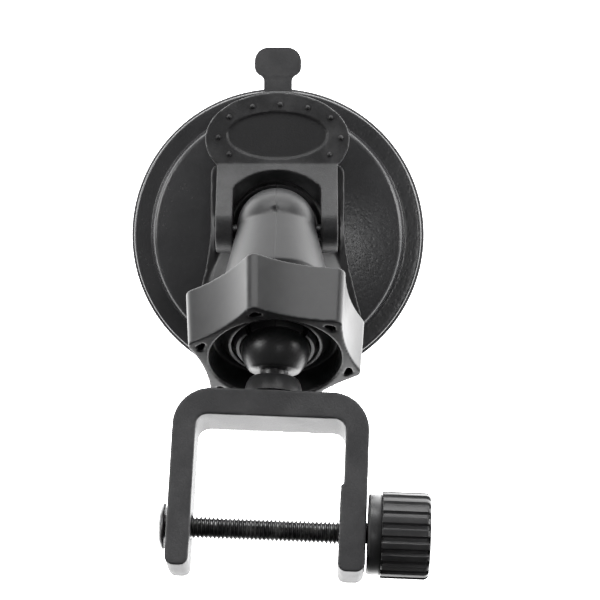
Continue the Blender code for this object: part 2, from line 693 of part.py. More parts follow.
def clamp_screw(bracket_frame):
    """Through screw with a low domed head."""
    crown, under = HEAD_X
    head = [(0.0, crown), (2.2, crown + 0.15), (3.3, crown + 0.45), (HEAD_R, under - 0.25)]
    profile = [(0.0, SCREW_END), (SCREW_R - 0.4, SCREW_END), (SCREW_R, SCREW_END - 0.4)]
    profile += [(SCREW_R, HEAD_X[1]), (HEAD_R, HEAD_X[1])] + head[::-1]
    screw = along_screw(turned("clamp_screw", profile, 32, bracket_frame))
    screw.data.materials.append(material("black_steel", (0.03, 0.03, 0.03), 0.4, 0.6))
    return screw


def clamp_knob(bracket_frame):
    """Knob with a smooth collar, a fluted grip and a pocket for the threaded insert."""
    outline = []
    for i in range(FLUTES):
        for share, depth in FLUTE:
            radius = KNOB_R - depth
            angle = 2 * math.pi * (i + share) / FLUTES
            outline.append((radius * math.cos(angle), radius * math.sin(angle)))
    knob = along_screw(plate("clamp_knob", outline, COLLAR_X[1], KNOB_END, bracket_frame))
    knob.data.materials.append(material("knob_black", (0.02, 0.02, 0.021), 0.35))
    inner, outer = COLLAR_X
    collar = cylinder("knob_collar", COLLAR_R, inner, outer + 1.0, bracket_frame, True, steps=48)
    boolean(knob, along_screw(collar), "UNION")
    tip_r, tip_end = SCREW_R + 0.4, SCREW_END + 0.8
    pocket = [(0.0, tip_end), (tip_r, tip_end), (tip_r, INSERT_X[1] + GAP)]
    pocket += [(INSERT_R[1] + GAP, INSERT_X[1] + GAP), (INSERT_R[1] + GAP, 15.0), (0.0, 15.0)]
    boolean(knob, along_screw(turned("insert_pocket", pocket, 32, bracket_frame, cutter=True)))
    return knob


def knob_insert(bracket_frame):
    """Threaded brass insert pressed into the knob."""
    (inner, outer), (start, end) = INSERT_R, INSERT_X
    profile = [(inner, end), (outer - 0.3, end), (outer, end - 0.3), (outer, start), (inner, start)]
    profile.append(profile[0])
    insert = along_screw(turned("knob_insert", profile, 32, bracket_frame))
    insert.data.materials.append(material("insert_brass", (0.6, 0.45, 0.2), 0.35, 1.0))
    return insert


def main():
    """Builds every sub-part of the mount."""
    clear_scene()
    lean_frame = frame_empty("stem_axis", ELBOW, Matrix.Rotation(LEAN, 4, "X"))
    ball_centre = ELBOW + Matrix.Rotation(LEAN, 3, "X") @ Vector((0.0, 0.0, BALL_S))
    tilt = Matrix.Rotation(BRACKET_TILT, 4, "X") @ Matrix.Rotation(BRACKET_ROLL, 4, "Z")
    bracket_frame = frame_empty("ball_centre", ball_centre, tilt)

    suction_membrane()
    membrane_stud()
    return_spring()
    cup_housing()
    base_screws()
    ball_stem(lean_frame)
    ball_seat(lean_frame)
    lock_nut(lean_frame)
    cam_lever()
    lever_pin()
    ball_stud(bracket_frame)
    u_bracket(bracket_frame)
    clamp_screw(bracket_frame)
    clamp_knob(bracket_frame)
    knob_insert(bracket_frame)


main()
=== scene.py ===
"""Dressed model of a suction-cup camera mount, built around its fixed engineering frame.

Sizes are in millimetres and become metres as each mesh is made. The origin is the centre of the suction
face, +Z runs out of the glass, +Y points to the pull tab and the stem leans towards -Y.
"""

from __future__ import annotations

import json
import logging
import math
from dataclasses import dataclass, field
from enum import Enum
from typing import Callable, Sequence

import bmesh
import bpy
from mathutils import Matrix, Vector

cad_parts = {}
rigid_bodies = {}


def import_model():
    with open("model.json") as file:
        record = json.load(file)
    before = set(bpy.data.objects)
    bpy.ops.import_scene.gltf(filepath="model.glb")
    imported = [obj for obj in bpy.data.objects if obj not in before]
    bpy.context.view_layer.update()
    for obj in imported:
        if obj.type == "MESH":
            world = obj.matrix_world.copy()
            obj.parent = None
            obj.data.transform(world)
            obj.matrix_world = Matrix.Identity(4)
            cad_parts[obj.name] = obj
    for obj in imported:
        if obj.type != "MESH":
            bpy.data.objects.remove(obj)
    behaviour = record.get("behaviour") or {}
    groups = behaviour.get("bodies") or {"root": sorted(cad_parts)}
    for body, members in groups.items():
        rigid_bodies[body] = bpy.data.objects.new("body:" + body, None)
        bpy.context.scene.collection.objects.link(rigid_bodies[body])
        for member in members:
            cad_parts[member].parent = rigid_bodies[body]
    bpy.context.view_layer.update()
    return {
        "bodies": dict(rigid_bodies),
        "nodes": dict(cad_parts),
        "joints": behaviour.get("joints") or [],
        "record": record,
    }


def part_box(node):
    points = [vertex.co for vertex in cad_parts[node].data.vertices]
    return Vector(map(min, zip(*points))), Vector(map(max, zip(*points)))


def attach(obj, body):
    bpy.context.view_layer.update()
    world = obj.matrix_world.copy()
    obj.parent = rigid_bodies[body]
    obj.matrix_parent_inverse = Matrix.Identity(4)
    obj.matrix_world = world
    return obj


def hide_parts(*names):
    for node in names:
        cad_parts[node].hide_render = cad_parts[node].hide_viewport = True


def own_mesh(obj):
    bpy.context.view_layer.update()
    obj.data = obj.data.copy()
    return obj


MM = 0.001
POLE = 0.0001
WELD = 0.000001
ON_SIDE = Matrix(((0, 0, 1, 0), (1, 0, 0, 0), (0, 1, 0, 0), (0, 0, 0, 1)))
LOG = logging.getLogger("mount")

Piece = bpy.types.Object
Point = tuple[float, float]
Corner = tuple[float, float, float]
Colour = tuple[float, float, float]


# ---------------------------------------------------------------- the bench: modelling moves


class Carve(Enum):
    """How a tool shapes a body."""

    ADD = "UNION"
    REMOVE = "DIFFERENCE"
    KEEP = "INTERSECT"


class Mode(Enum):
    """Object or edit mode."""

    OBJECT = "OBJECT"
    EDIT = "EDIT"


def switch(mode: Mode) -> None:
    """Switches the active object's mode."""
    if bpy.context.mode[:4] != mode.value[:4]:
        bpy.ops.object.mode_set(mode=mode.value)


def clear_bench() -> None:
    """Leaves edit mode and deselects everything."""
    switch(Mode.OBJECT)
    bpy.ops.object.select_all(action="DESELECT")


def take_up(obj: Piece) -> Piece:
    """Selects one object alone and makes it active."""
    clear_bench()
    obj.select_set(True)
    bpy.context.view_layer.objects.active = obj
    return obj


def close_up() -> None:
    """Turns every face of the edited mesh outwards and leaves edit mode."""
    bpy.ops.mesh.select_all(action="SELECT")
    bpy.ops.mesh.normals_make_consistent(inside=False)
    switch(Mode.OBJECT)


def turned(name: str, profile: Sequence[Point], steps: int, place: Matrix | None = None) -> Piece:
    """Raises a round body from a circle, ring by ring.

    Args:
        name: The piece's name.
        profile: (radius, height) of each ring in order; a radius of 0 is a pole.
        steps: Vertices in a ring.
        place: Where the piece's axis stands; the model's own axis if left out.

    Returns:
        The closed body, at the origin, with its place in its mesh.
    """
    clear_bench()
    rings = [(max(r, POLE), z) for r, z in profile]
    radius, height = rings[0]
    bpy.ops.mesh.primitive_circle_add(vertices=steps, radius=radius * MM, fill_type="NOTHING")
    obj = bpy.context.object
    obj.name = obj.data.name = name
    switch(Mode.EDIT)
    bpy.ops.mesh.select_mode(type="EDGE")
    bpy.ops.mesh.select_all(action="SELECT")
    bpy.ops.transform.translate(value=(0.0, 0.0, height * MM))
    for next_radius, next_height in rings[1:]:
        rise = (0.0, 0.0, (next_height - height) * MM)
        bpy.ops.mesh.extrude_edges_move(TRANSFORM_OT_translate={"value": rise})
        grow = next_radius / radius
        bpy.ops.transform.resize(value=(grow, grow, 1.0), center_override=(0.0, 0.0, 0.0))
        radius, height = next_radius, next_height
    bpy.ops.mesh.select_all(action="SELECT")
    bpy.ops.mesh.remove_doubles(threshold=WELD)
    close_up()
    return seat(obj, place)


def rod(name: str, radius: float, low: float, high: float, steps: int, place: Matrix | None = None) -> Piece:
    """Turns a plain cylinder between two heights."""
    return turned(name, [(0.0, low), (radius, low), (radius, high), (0.0, high)], steps, place)


def plate(
    name: str,
    outline: Sequence[Point],
    low: float,
    high: float,
    place: Matrix | None = None,
    taper: float = 1.0,
) -> Piece:
    """Draws a flat disc out to an outline and extrudes it.

    Args:
        name: The piece's name.
        outline: (x, y) points in order.
        low: Height of the first face.
        high: Height of the second face.
        place: Where the plate's own axes stand.
        taper: Scale of the second face about its axis.

    Returns:
        The closed plate.
    """
    clear_bench()
    bpy.ops.mesh.primitive_circle_add(vertices=len(outline), radius=MM, fill_type="NGON")
    obj = bpy.context.object
    obj.name = obj.data.name = name
    for vertex, (x, y) in zip(obj.data.vertices, outline):
        vertex.co = (x * MM, y * MM, low * MM)
    switch(Mode.EDIT)
    bpy.ops.mesh.select_mode(type="FACE")
    bpy.ops.mesh.select_all(action="SELECT")
    rise = (0.0, 0.0, (high - low) * MM)
    bpy.ops.mesh.extrude_region_move(TRANSFORM_OT_translate={"value": rise})
    bpy.ops.transform.resize(value=(taper, taper, 1.0), center_override=(0.0, 0.0, 0.0))
    close_up()
    return seat(obj, place)


def seat(obj: Piece, place: Matrix | None) -> Piece:
    """Moves a mesh to its place, with its object left at the origin."""
    if place is not None:
        obj.data.transform(place)
        obj.data.update()
    return obj


def sculpt(obj: Piece, move: Callable[[Vector], Vector]) -> None:
    """Moves each vertex to where a function says, in millimetres."""
    for vertex in obj.data.vertices:
        vertex.co = move(vertex.co / MM) * MM
    obj.data.update()


def apply(obj: Piece, kind: str, **settings: object) -> Piece:
    """Adds a modifier with its settings and applies it."""
    take_up(obj)
    modifier = obj.modifiers.new(kind.lower(), kind)
    for name, value in settings.items():
        setattr(modifier, name, value)
    bpy.ops.object.modifier_apply(modifier=modifier.name)
    return obj


def carve(obj: Piece, tool: Piece, how: Carve = Carve.REMOVE) -> Piece:
    """Shapes a body with a tool, which is used up."""
    apply(obj, "BOOLEAN", operation=how.value, object=tool, solver="EXACT")
    bpy.data.objects.remove(tool, do_unlink=True)
    return obj


def round_edges(obj: Piece, radius: float, segments: int = 3, angle: float = 35.0) -> Piece:
    """Rounds every edge that is sharper than an angle in degrees."""
    limit = math.radians(angle)
    return apply(obj, "BEVEL", width=radius * MM, segments=segments, limit_method="ANGLE", angle_limit=limit)


def mould(obj: Piece, grain: float, passes: int) -> Piece:
    """Turns joined shapes into one skin whose edges and corners have small moulded radii.

    Args:
        obj: The joined shapes.
        grain: Size of the skin's cells.
        passes: Rounds of smoothing.

    Returns:
        The same object with its new skin.
    """
    apply(obj, "REMESH", mode="VOXEL", voxel_size=grain * MM, adaptivity=0.0, use_smooth_shade=True)
    return apply(obj, "SMOOTH", factor=0.5, iterations=passes)


def join(first: Piece, *others: Piece) -> Piece:
    """Joins shells into one piece."""
    take_up(first)
    for obj in others:
        obj.select_set(True)
    bpy.ops.object.join()
    return first


def shade(obj: Piece, angle: float = 35.0) -> Piece:
    """Shades a piece smooth, with edges sharper than an angle in degrees left crisp."""
    take_up(obj)
    bpy.ops.object.shade_smooth_by_angle(angle=math.radians(angle))
    return obj


# ---------------------------------------------------------------- outlines


def arc(centre: Point, radius: float, start: float, end: float, count: int) -> list[Point]:
    """Points on an arc between two angles in degrees, both ends included."""
    angles = [math.radians(start + (end - start) * i / count) for i in range(count + 1)]
    return [(centre[0] + radius * math.cos(a), centre[1] + radius * math.sin(a)) for a in angles]


def filleted(corners: Sequence[Corner], count: int = 8) -> list[Point]:
    """Rounds the (x, y, radius) corners of an outline.

    Args:
        corners: Each corner with its radius; a radius of 0 stays sharp.
        count: Steps in a rounded corner.

    Returns:
        The outline's points.
    """
    points: list[Point] = []
    for i, (x, y, radius) in enumerate(corners):
        if radius <= 0.0:
            points.append((x, y))
            continue
        here = Vector((x, y))
        back = (Vector(corners[i - 1][:2]) - here).normalized()
        ahead = (Vector(corners[(i + 1) % len(corners)][:2]) - here).normalized()
        half = back.angle(ahead) / 2
        centre = here + (back + ahead).normalized() * radius / math.sin(half)
        start = here + back * radius / math.tan(half) - centre
        end = here + ahead * radius / math.tan(half) - centre
        for k in range(count + 1):
            spot = centre + start.lerp(end, k / count).normalized() * radius
            points.append((spot.x, spot.y))
    return points


def oval(centre: Point, semi: Point, count: int, first: float = 0.0, last: float = 360.0) -> list[Point]:
    """Points on an ellipse between two angles in degrees; a whole one doesn't repeat its start."""
    whole = last - first >= 360.0
    steps = count if whole else count + 1
    angles = [math.radians(first + (last - first) * i / count) for i in range(steps)]
    return [(centre[0] + semi[0] * math.cos(a), centre[1] + semi[1] * math.sin(a)) for a in angles]


def mirrored(points: Sequence[tuple[float, ...]]) -> list[tuple[float, ...]]:
    """The points' mirror images across x = 0, in reverse order, so that they close an outline."""
    return [(-point[0], *point[1:]) for point in reversed(points)]


def box_outline(x: Point, y: Point) -> list[Point]:
    """Corners of a rectangle."""
    return [(x[1], y[0]), (x[1], y[1]), (x[0], y[1]), (x[0], y[0])]


# ---------------------------------------------------------------- shader maths


class Level:
    """A number that varies over a surface; Python's operators add Math nodes to it."""

    def __init__(self, shader: Shader, socket: bpy.types.NodeSocket) -> None:
        """Wraps a socket of a shader."""
        self.shader = shader
        self.socket = socket

    def _with(self, operation: str, *values: Level | float) -> Level:
        """Adds a Math node on these values."""
        return self.shader.node("ShaderNodeMath", {"operation": operation}, dict(enumerate(values)))

    def __add__(self, other: Level | float) -> Level:
        """Sum."""
        return self._with("ADD", self, other)

    def __radd__(self, other: float) -> Level:
        """Sum with a number first."""
        return self._with("ADD", other, self)

    def __sub__(self, other: Level | float) -> Level:
        """Difference."""
        return self._with("SUBTRACT", self, other)

    def __rsub__(self, other: float) -> Level:
        """Difference from a number."""
        return self._with("SUBTRACT", other, self)

    def __mul__(self, other: Level | float) -> Level:
        """Product."""
        return self._with("MULTIPLY", self, other)

    def __rmul__(self, other: float) -> Level:
        """Product with a number first."""
        return self._with("MULTIPLY", other, self)

    def size(self) -> Level:
        """Size without sign."""
        return self._with("ABSOLUTE", self)

    def root(self) -> Level:
        """Square root."""
        return self._with("SQRT", self)

    def between(self, low: float, high: float) -> Level:
        """Rises smoothly from 0 at low to 1 at high."""
        settings = {"interpolation_type": "SMOOTHSTEP"}
        sockets = {"Value": self, "From Min": low, "From Max": high}
        return self.shader.node("ShaderNodeMapRange", settings, sockets)


class Shader:
    """One material's node tree, with Object coordinates at hand."""

    def __init__(self, name: str) -> None:
        """Makes the material with a Principled shader."""
        self.material = bpy.data.materials.new(name)
        self.material.use_nodes = True
        self.tree = self.material.node_tree
        self.surface = self.tree.nodes["Principled BSDF"]
        self.where = self.node("ShaderNodeTexCoord", {}, {}, "Object")

    def node(self, kind: str, settings: dict, sockets: dict, output: str | int = 0) -> Level:
        """Adds a node.

        Args:
            kind: The node's type.
            settings: Its properties, which are set first.
            sockets: A number, colour or Level for each input by name or place.
            output: The output that is returned.

        Returns:
            The output as a Level.
        """
        made = self.tree.nodes.new(kind)
        for name, value in settings.items():
            setattr(made, name, value)
        for name, value in sockets.items():
            self.feed(made.inputs[name], value)
        return Level(self, made.outputs[output])

    def feed(self, socket: bpy.types.NodeSocket, value: object) -> None:
        """Links a Level to an input, or sets the input's value."""
        if isinstance(value, Level):
            self.tree.links.new(value.socket, socket)
        else:
            socket.default_value = value

    def set(self, **values: object) -> None:
        """Feeds the Principled shader's inputs; an underscore stands for a space."""
        for name, value in values.items():
            self.feed(self.surface.inputs[name.replace("_", " ")], value)

    def noise(self, size: float, detail: float = 2.0, rough: float = 0.5) -> Level:
        """Cloudy noise whose patches are about size across."""
        sockets = {"Vector": self.where, "Scale": 1.0 / (size * MM), "Detail": detail, "Roughness": rough}
        return self.node("ShaderNodeTexNoise", {"noise_dimensions": "3D"}, sockets, "Fac")

    def cells(self, size: float) -> Level:
        """Distance to the nearest of scattered points that are about size apart."""
        sockets = {"Vector": self.where, "Scale": 1.0 / (size * MM)}
        return self.node("ShaderNodeTexVoronoi", {}, sockets, "Distance")

    def axis(self, name: str) -> Level:
        """One Object coordinate, X, Y or Z, in metres."""
        return self.node("ShaderNodeSeparateXYZ", {}, {"Vector": self.where}, name)

    def blend(self, share: Level, first: Colour, second: Colour) -> Level:
        """Mixes two colours by a share."""
        sockets = {0: share, 6: (*first, 1.0), 7: (*second, 1.0)}
        return self.node("ShaderNodeMix", {"data_type": "RGBA"}, sockets, 2)

    def relief(self, height: Level, depth: float, under: Level | None = None) -> Level:
        """Raises a surface by height times depth, in millimetres, over another relief."""
        sockets: dict = {"Height": height, "Distance": depth * MM, "Strength": 1.0}
        if under is not None:
            sockets["Normal"] = under
        return self.node("ShaderNodeBump", {}, sockets, "Normal")


# ---------------------------------------------------------------- finishes


@dataclass(frozen=True)
class Plastic:
    """Moulded plastic with the texture of its mould.

    Attributes:
        name: The material's name.
        colour: Its main colour.
        worn: Its colour in the light patches.
        roughness: Its mean roughness.
        spread: How far its roughness wanders.
        grain: Size of the mould's texture, and its depth.
        swell: Size and depth of the slow waves in the skin.
        pits: Depth of scattered fine pits that sparkle.
        seam: Width of the mould's parting line at x = 0, or 0 for none.
        patch: Centre and half sizes of a darker oval across the top, or nothing.
    """

    name: str
    colour: Colour
    worn: Colour
    roughness: float
    spread: float
    grain: tuple[float, float]
    swell: tuple[float, float]
    pits: float = 0.0
    seam: float = 0.0
    patch: tuple[float, ...] = ()

    def build(self) -> bpy.types.Material:
        """Makes the material."""
        shader = Shader(self.name)
        fine = shader.noise(self.grain[0], 3.0, 0.6)
        cloud = shader.noise(self.grain[0] * 22.0, 4.0, 0.6)
        share = cloud.between(0.35, 0.75) * 0.35 + fine.between(0.6, 0.8) * 0.4
        normal = shader.relief(shader.noise(self.swell[0], 2.0), self.swell[1])
        normal = shader.relief(fine, self.grain[1], normal)
        if self.pits > 0.0:
            normal = shader.relief(shader.cells(self.grain[0] * 1.7).between(0.0, 0.5), self.pits, normal)
        if self.seam > 0.0:
            line = shader.axis("X").size().between(0.0, self.seam * MM)
            normal = shader.relief(line, 0.05, normal)
        if self.patch:
            x, y, half_x, half_y = (value * MM for value in self.patch)
            across, along = (shader.axis("X") - x) * (1.0 / half_x), (shader.axis("Y") - y) * (1.0 / half_y)
            share = share * (across * across + along * along).between(0.93, 1.03)
        shader.set(
            Base_Color=shader.blend(share, self.colour, self.worn),
            Roughness=self.roughness + (cloud - 0.5) * self.spread * 2.0 + (fine - 0.5) * self.spread,
            Normal=normal,
        )
        return shader.material


@dataclass(frozen=True)
class Metal:
    """Bare or blackened metal with fine turning marks."""

    name: str
    colour: Colour
    worn: Colour
    roughness: float
    metallic: float = 1.0

    def build(self) -> bpy.types.Material:
        """Makes the material."""
        shader = Shader(self.name)
        cloud = shader.noise(1.6, 4.0, 0.6)
        fine = shader.noise(0.12, 2.0)
        share = cloud.between(0.4, 0.75)
        shader.set(
            Base_Color=shader.blend(share, self.colour, self.worn),
            Roughness=self.roughness + (cloud - 0.5) * 0.16,
            Metallic=self.metallic,
            Normal=shader.relief(fine, 0.004),
        )
        return shader.material


RUBBER = Plastic("cup_rubber", (0.05, 0.05, 0.052), (0.11, 0.11, 0.112), 0.56, 0.1, (0.22, 0.02), (4.0, 0.03))
DOME_GLOSS = Plastic(
    "dome_gloss", (0.045, 0.045, 0.047), (0.078, 0.078, 0.08), 0.26, 0.04, (0.5, 0.012), (1.3, 0.03), 0.012
)
STEM_SATIN = Plastic(
    "stem_satin", (0.02, 0.02, 0.021), (0.036, 0.036, 0.037), 0.42, 0.06, (0.2, 0.008), (3.0, 0.015),
    seam=0.16,
)
NUT_SATIN = Plastic(
    "nut_satin", (0.015, 0.015, 0.016), (0.03, 0.03, 0.031), 0.4, 0.06, (0.2, 0.007), (3.0, 0.02)
)
LEVER_MATTE = Plastic(
    "lever_matte", (0.018, 0.018, 0.019), (0.11, 0.11, 0.112), 0.5, 0.08, (0.26, 0.022), (3.5, 0.02), 0.008,
    patch=(0.0, 18.0, 9.3, 4.4),
)
BRACKET_MATTE = Plastic(
    "bracket_matte", (0.04, 0.04, 0.042), (0.095, 0.095, 0.097), 0.52, 0.1, (0.3, 0.03), (3.0, 0.03), 0.012
)
BALL_GLOSS = Plastic(
    "ball_gloss", (0.03, 0.03, 0.031), (0.05, 0.05, 0.052), 0.34, 0.05, (0.3, 0.012), (1.2, 0.02), 0.012
)
KNOB_BLACK = Plastic(
    "knob_black", (0.036, 0.036, 0.037), (0.08, 0.08, 0.082), 0.33, 0.08, (0.2, 0.008), (2.0, 0.015)
)
STUD_PLASTIC = Plastic(
    "stud_plastic", (0.05, 0.05, 0.052), (0.08, 0.08, 0.082), 0.5, 0.08, (0.25, 0.01), (3.0, 0.02)
)
SEAT_GREY = Plastic("seat_grey", (0.1, 0.1, 0.1), (0.16, 0.16, 0.16), 0.7, 0.08, (0.3, 0.02), (2.0, 0.02))
BLACK_STEEL = Metal("black_steel", (0.08, 0.08, 0.082), (0.26, 0.26, 0.26), 0.34, 0.85)
PIN_STEEL = Metal("pin_steel", (0.03, 0.03, 0.031), (0.08, 0.08, 0.08), 0.4, 0.7)
SPRING_STEEL = Metal("spring_steel", (0.45, 0.45, 0.47), (0.62, 0.62, 0.63), 0.3)
SCREW_STEEL = Metal("screw_steel", (0.48, 0.48, 0.49), (0.66, 0.66, 0.66), 0.35)
BRASS = Metal("insert_brass", (0.52, 0.36, 0.12), (0.68, 0.52, 0.24), 0.35)


# ---------------------------------------------------------------- frames and fitting


@dataclass
class Frames:
    """Axes of the tilted sub-assemblies, read from the model's own joints."""

    lean: Matrix
    bracket: Matrix

    @classmethod
    def from_joints(cls, joints: Sequence[dict]) -> Frames:
        """Reads the stem's axis and the bracket's axes from the joints."""
        by_name = {joint["name"]: joint for joint in joints}
        nut, spin, screw = by_name["nut_turn"], by_name["ball_spin"], by_name["screw_turn"]
        lean = cls.axes(Vector(nut["pos_m"]), Vector((1.0, 0.0, 0.0)), Vector(nut["axis"]))
        legs, across = -Vector(spin["axis"]).normalized(), Vector(screw["axis"]).normalized()
        ball = Vector(by_name["ball_swivel"]["pos_m"])
        return cls(lean, cls.axes(ball, across, across.cross(legs)))

    @staticmethod
    def axes(origin: Vector, x: Vector, z: Vector) -> Matrix:
        """A frame with an origin, an X axis and a Z axis."""
        y = z.cross(x).normalized()
        turn = Matrix((x.normalized(), y, z.normalized())).transposed().to_4x4()
        return Matrix.Translation(origin) @ turn

    def along_legs(self) -> Matrix:
        """The bracket's frame with Z along its legs, away from the ball."""
        return self.bracket @ Matrix.Rotation(math.pi / 2, 4, "X")

    def along_screw(self, drop: float) -> Matrix:
        """The bracket's frame with Z along the clamp screw, which lies a drop below the ball."""
        below = Matrix.Translation((0.0, -drop * MM, 0.0))
        return self.bracket @ below @ Matrix.Rotation(math.pi / 2, 4, "Y")


@dataclass
class SubAssembly:
    """Pieces that are built and dressed together."""

    frames: Frames

    def fit(
        self, obj: Piece, finish: bpy.types.Material, slot: str, body: str, *nodes: str
    ) -> Piece:
        """Dresses a finished piece and gives it its place in the mechanism.

        Args:
            obj: The piece.
            finish: Its material.
            slot: The record's material slot; not used.
            body: The body that it rides on.
            nodes: The engineering nodes that it stands for.

        Returns:
            The piece.
        """
        obj.data.materials.clear()
        obj.data.materials.append(finish)
        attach(obj, body)
        if nodes:
            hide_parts(*nodes)
        triangles = sum(len(face.vertices) - 2 for face in obj.data.polygons)
        LOG.info("%s rides on %s, %d triangles", obj.name, body, triangles)
        return obj


# ---------------------------------------------------------------- suction cup


@dataclass
class SuctionCup(SubAssembly):
    """Soft membrane with its pull tab, under a glossy dome."""

    cup_r: float = 27.5
    lip_inner_r: float = 21.5
    skin: float = 1.3
    dish_z: float = 1.8
    dish_r: float = 9.0
    hub_r: float = 9.2
    hub_top: float = 4.8
    stud_travel: float = 1.5
    tab_neck: float = 2.65
    tab_half: float = 4.4
    tab_tip: float = 35.2
    tab_z: Point = (0.05, 1.5)
    housing_r: float = 26.9
    rim_z: Point = (1.65, 3.0)
    dome_r: float = 23.5
    shoulder_r: float = 22.3
    shoulder_z: float = 4.8
    dome_top: float = 7.0
    wall: float = 1.4
    hole_r: float = 7.1
    steps: int = 160

    def dome_z(self, radius: float) -> float:
        """Height of the dome's skin at a radius."""
        return self.dome_top - (self.dome_top - self.shoulder_z) * (radius / self.shoulder_r) ** 2

    def membrane(self) -> Piece:
        """Soft disc: dished middle, flat lip, hub around the stud's flange, and the pull tab."""
        dish = []
        for i in range(17):
            share = i / 16
            radius = self.dish_r + (self.lip_inner_r - self.dish_r) * share
            dish.append((radius, self.dish_z * (1 + math.cos(math.pi * share)) / 2))
        lip = [(self.cup_r - 0.9, 0.0)] + arc((self.cup_r - 0.3, 0.3), 0.3, -90, 0, 4)
        lip += arc((self.cup_r - 0.4, self.skin - 0.4), 0.4, 0, 90, 5)
        upper = [(r, z + self.skin) for r, z in reversed(dish)]
        hub = [(self.hub_r + 0.5, upper[-1][1] + 0.1)]
        hub += arc((self.hub_r - 0.5, self.hub_top - 0.5), 0.5, 0, 90, 4)
        pocket = [(3.8, self.hub_top), (3.8, 4.2), (8.5, 4.2), (8.5, 2.5), (0.0, 2.5)]
        profile = [(0.0, self.dish_z)] + dish + lip + upper[:-1] + hub + pocket
        disc = turned("suction_cup_membrane", profile, self.steps)
        neck, half, tip = self.tab_neck, self.tab_half, self.tab_tip
        side = [(neck, 25.5, 0.0), (neck, 29.9, 1.2), (half, 30.2, 1.6), (half, tip, 2.6)]
        corners = side + mirrored(side)
        tab = round_edges(plate("pull_tab", filleted(corners), *self.tab_z), 0.3)
        carve(disc, tab, Carve.ADD)
        shade(disc)
        self.fit(disc, RUBBER.build(), "soft_black", "base", "suction_membrane")
        keep = (self.hub_top - self.stud_travel) / self.hub_top
        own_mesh(disc)
        return disc

    def housing(self) -> Piece:
        """Dome shell: flat rim with a rounded edge, steep shoulder and shallow crown."""
        crown = [self.hole_r + (self.shoulder_r - self.hole_r) * i / 24 for i in range(25)]
        low, rim = self.rim_z
        profile = [(r, self.dome_z(r)) for r in crown]
        reach, drop = self.dome_r - self.shoulder_r, self.shoulder_z - rim
        for angle in (75, 62, 50, 38, 26, 15):
            turn = math.radians(angle)
            profile.append((self.shoulder_r + reach * math.cos(turn), rim + drop * math.sin(turn)))
        profile += arc((self.dome_r + 0.35, rim + 0.3), 0.3, 195, 262, 4)
        profile += [(self.dome_r + 0.7, rim), (self.housing_r - 1.0, rim)]
        profile += arc((self.housing_r - 0.45, rim - 0.45), 0.45, 85, 5, 5)
        profile += [(self.housing_r, low + 0.1), (self.housing_r - 0.1, low), (self.shoulder_r, low)]
        profile += [(self.shoulder_r - 0.6, self.dome_z(self.shoulder_r) - self.wall)]
        profile += [(r, self.dome_z(r) - self.wall) for r in reversed(crown[:-1])]
        profile.append(profile[0])
        shell = shade(turned("dome_housing", profile, self.steps), 50.0)
        return self.fit(shell, DOME_GLOSS.build(), "gloss_black", "base", "cup_housing")

    def build(self) -> None:
        """Builds the membrane and the dome."""
        self.membrane()
        self.housing()


# ---------------------------------------------------------------- stem


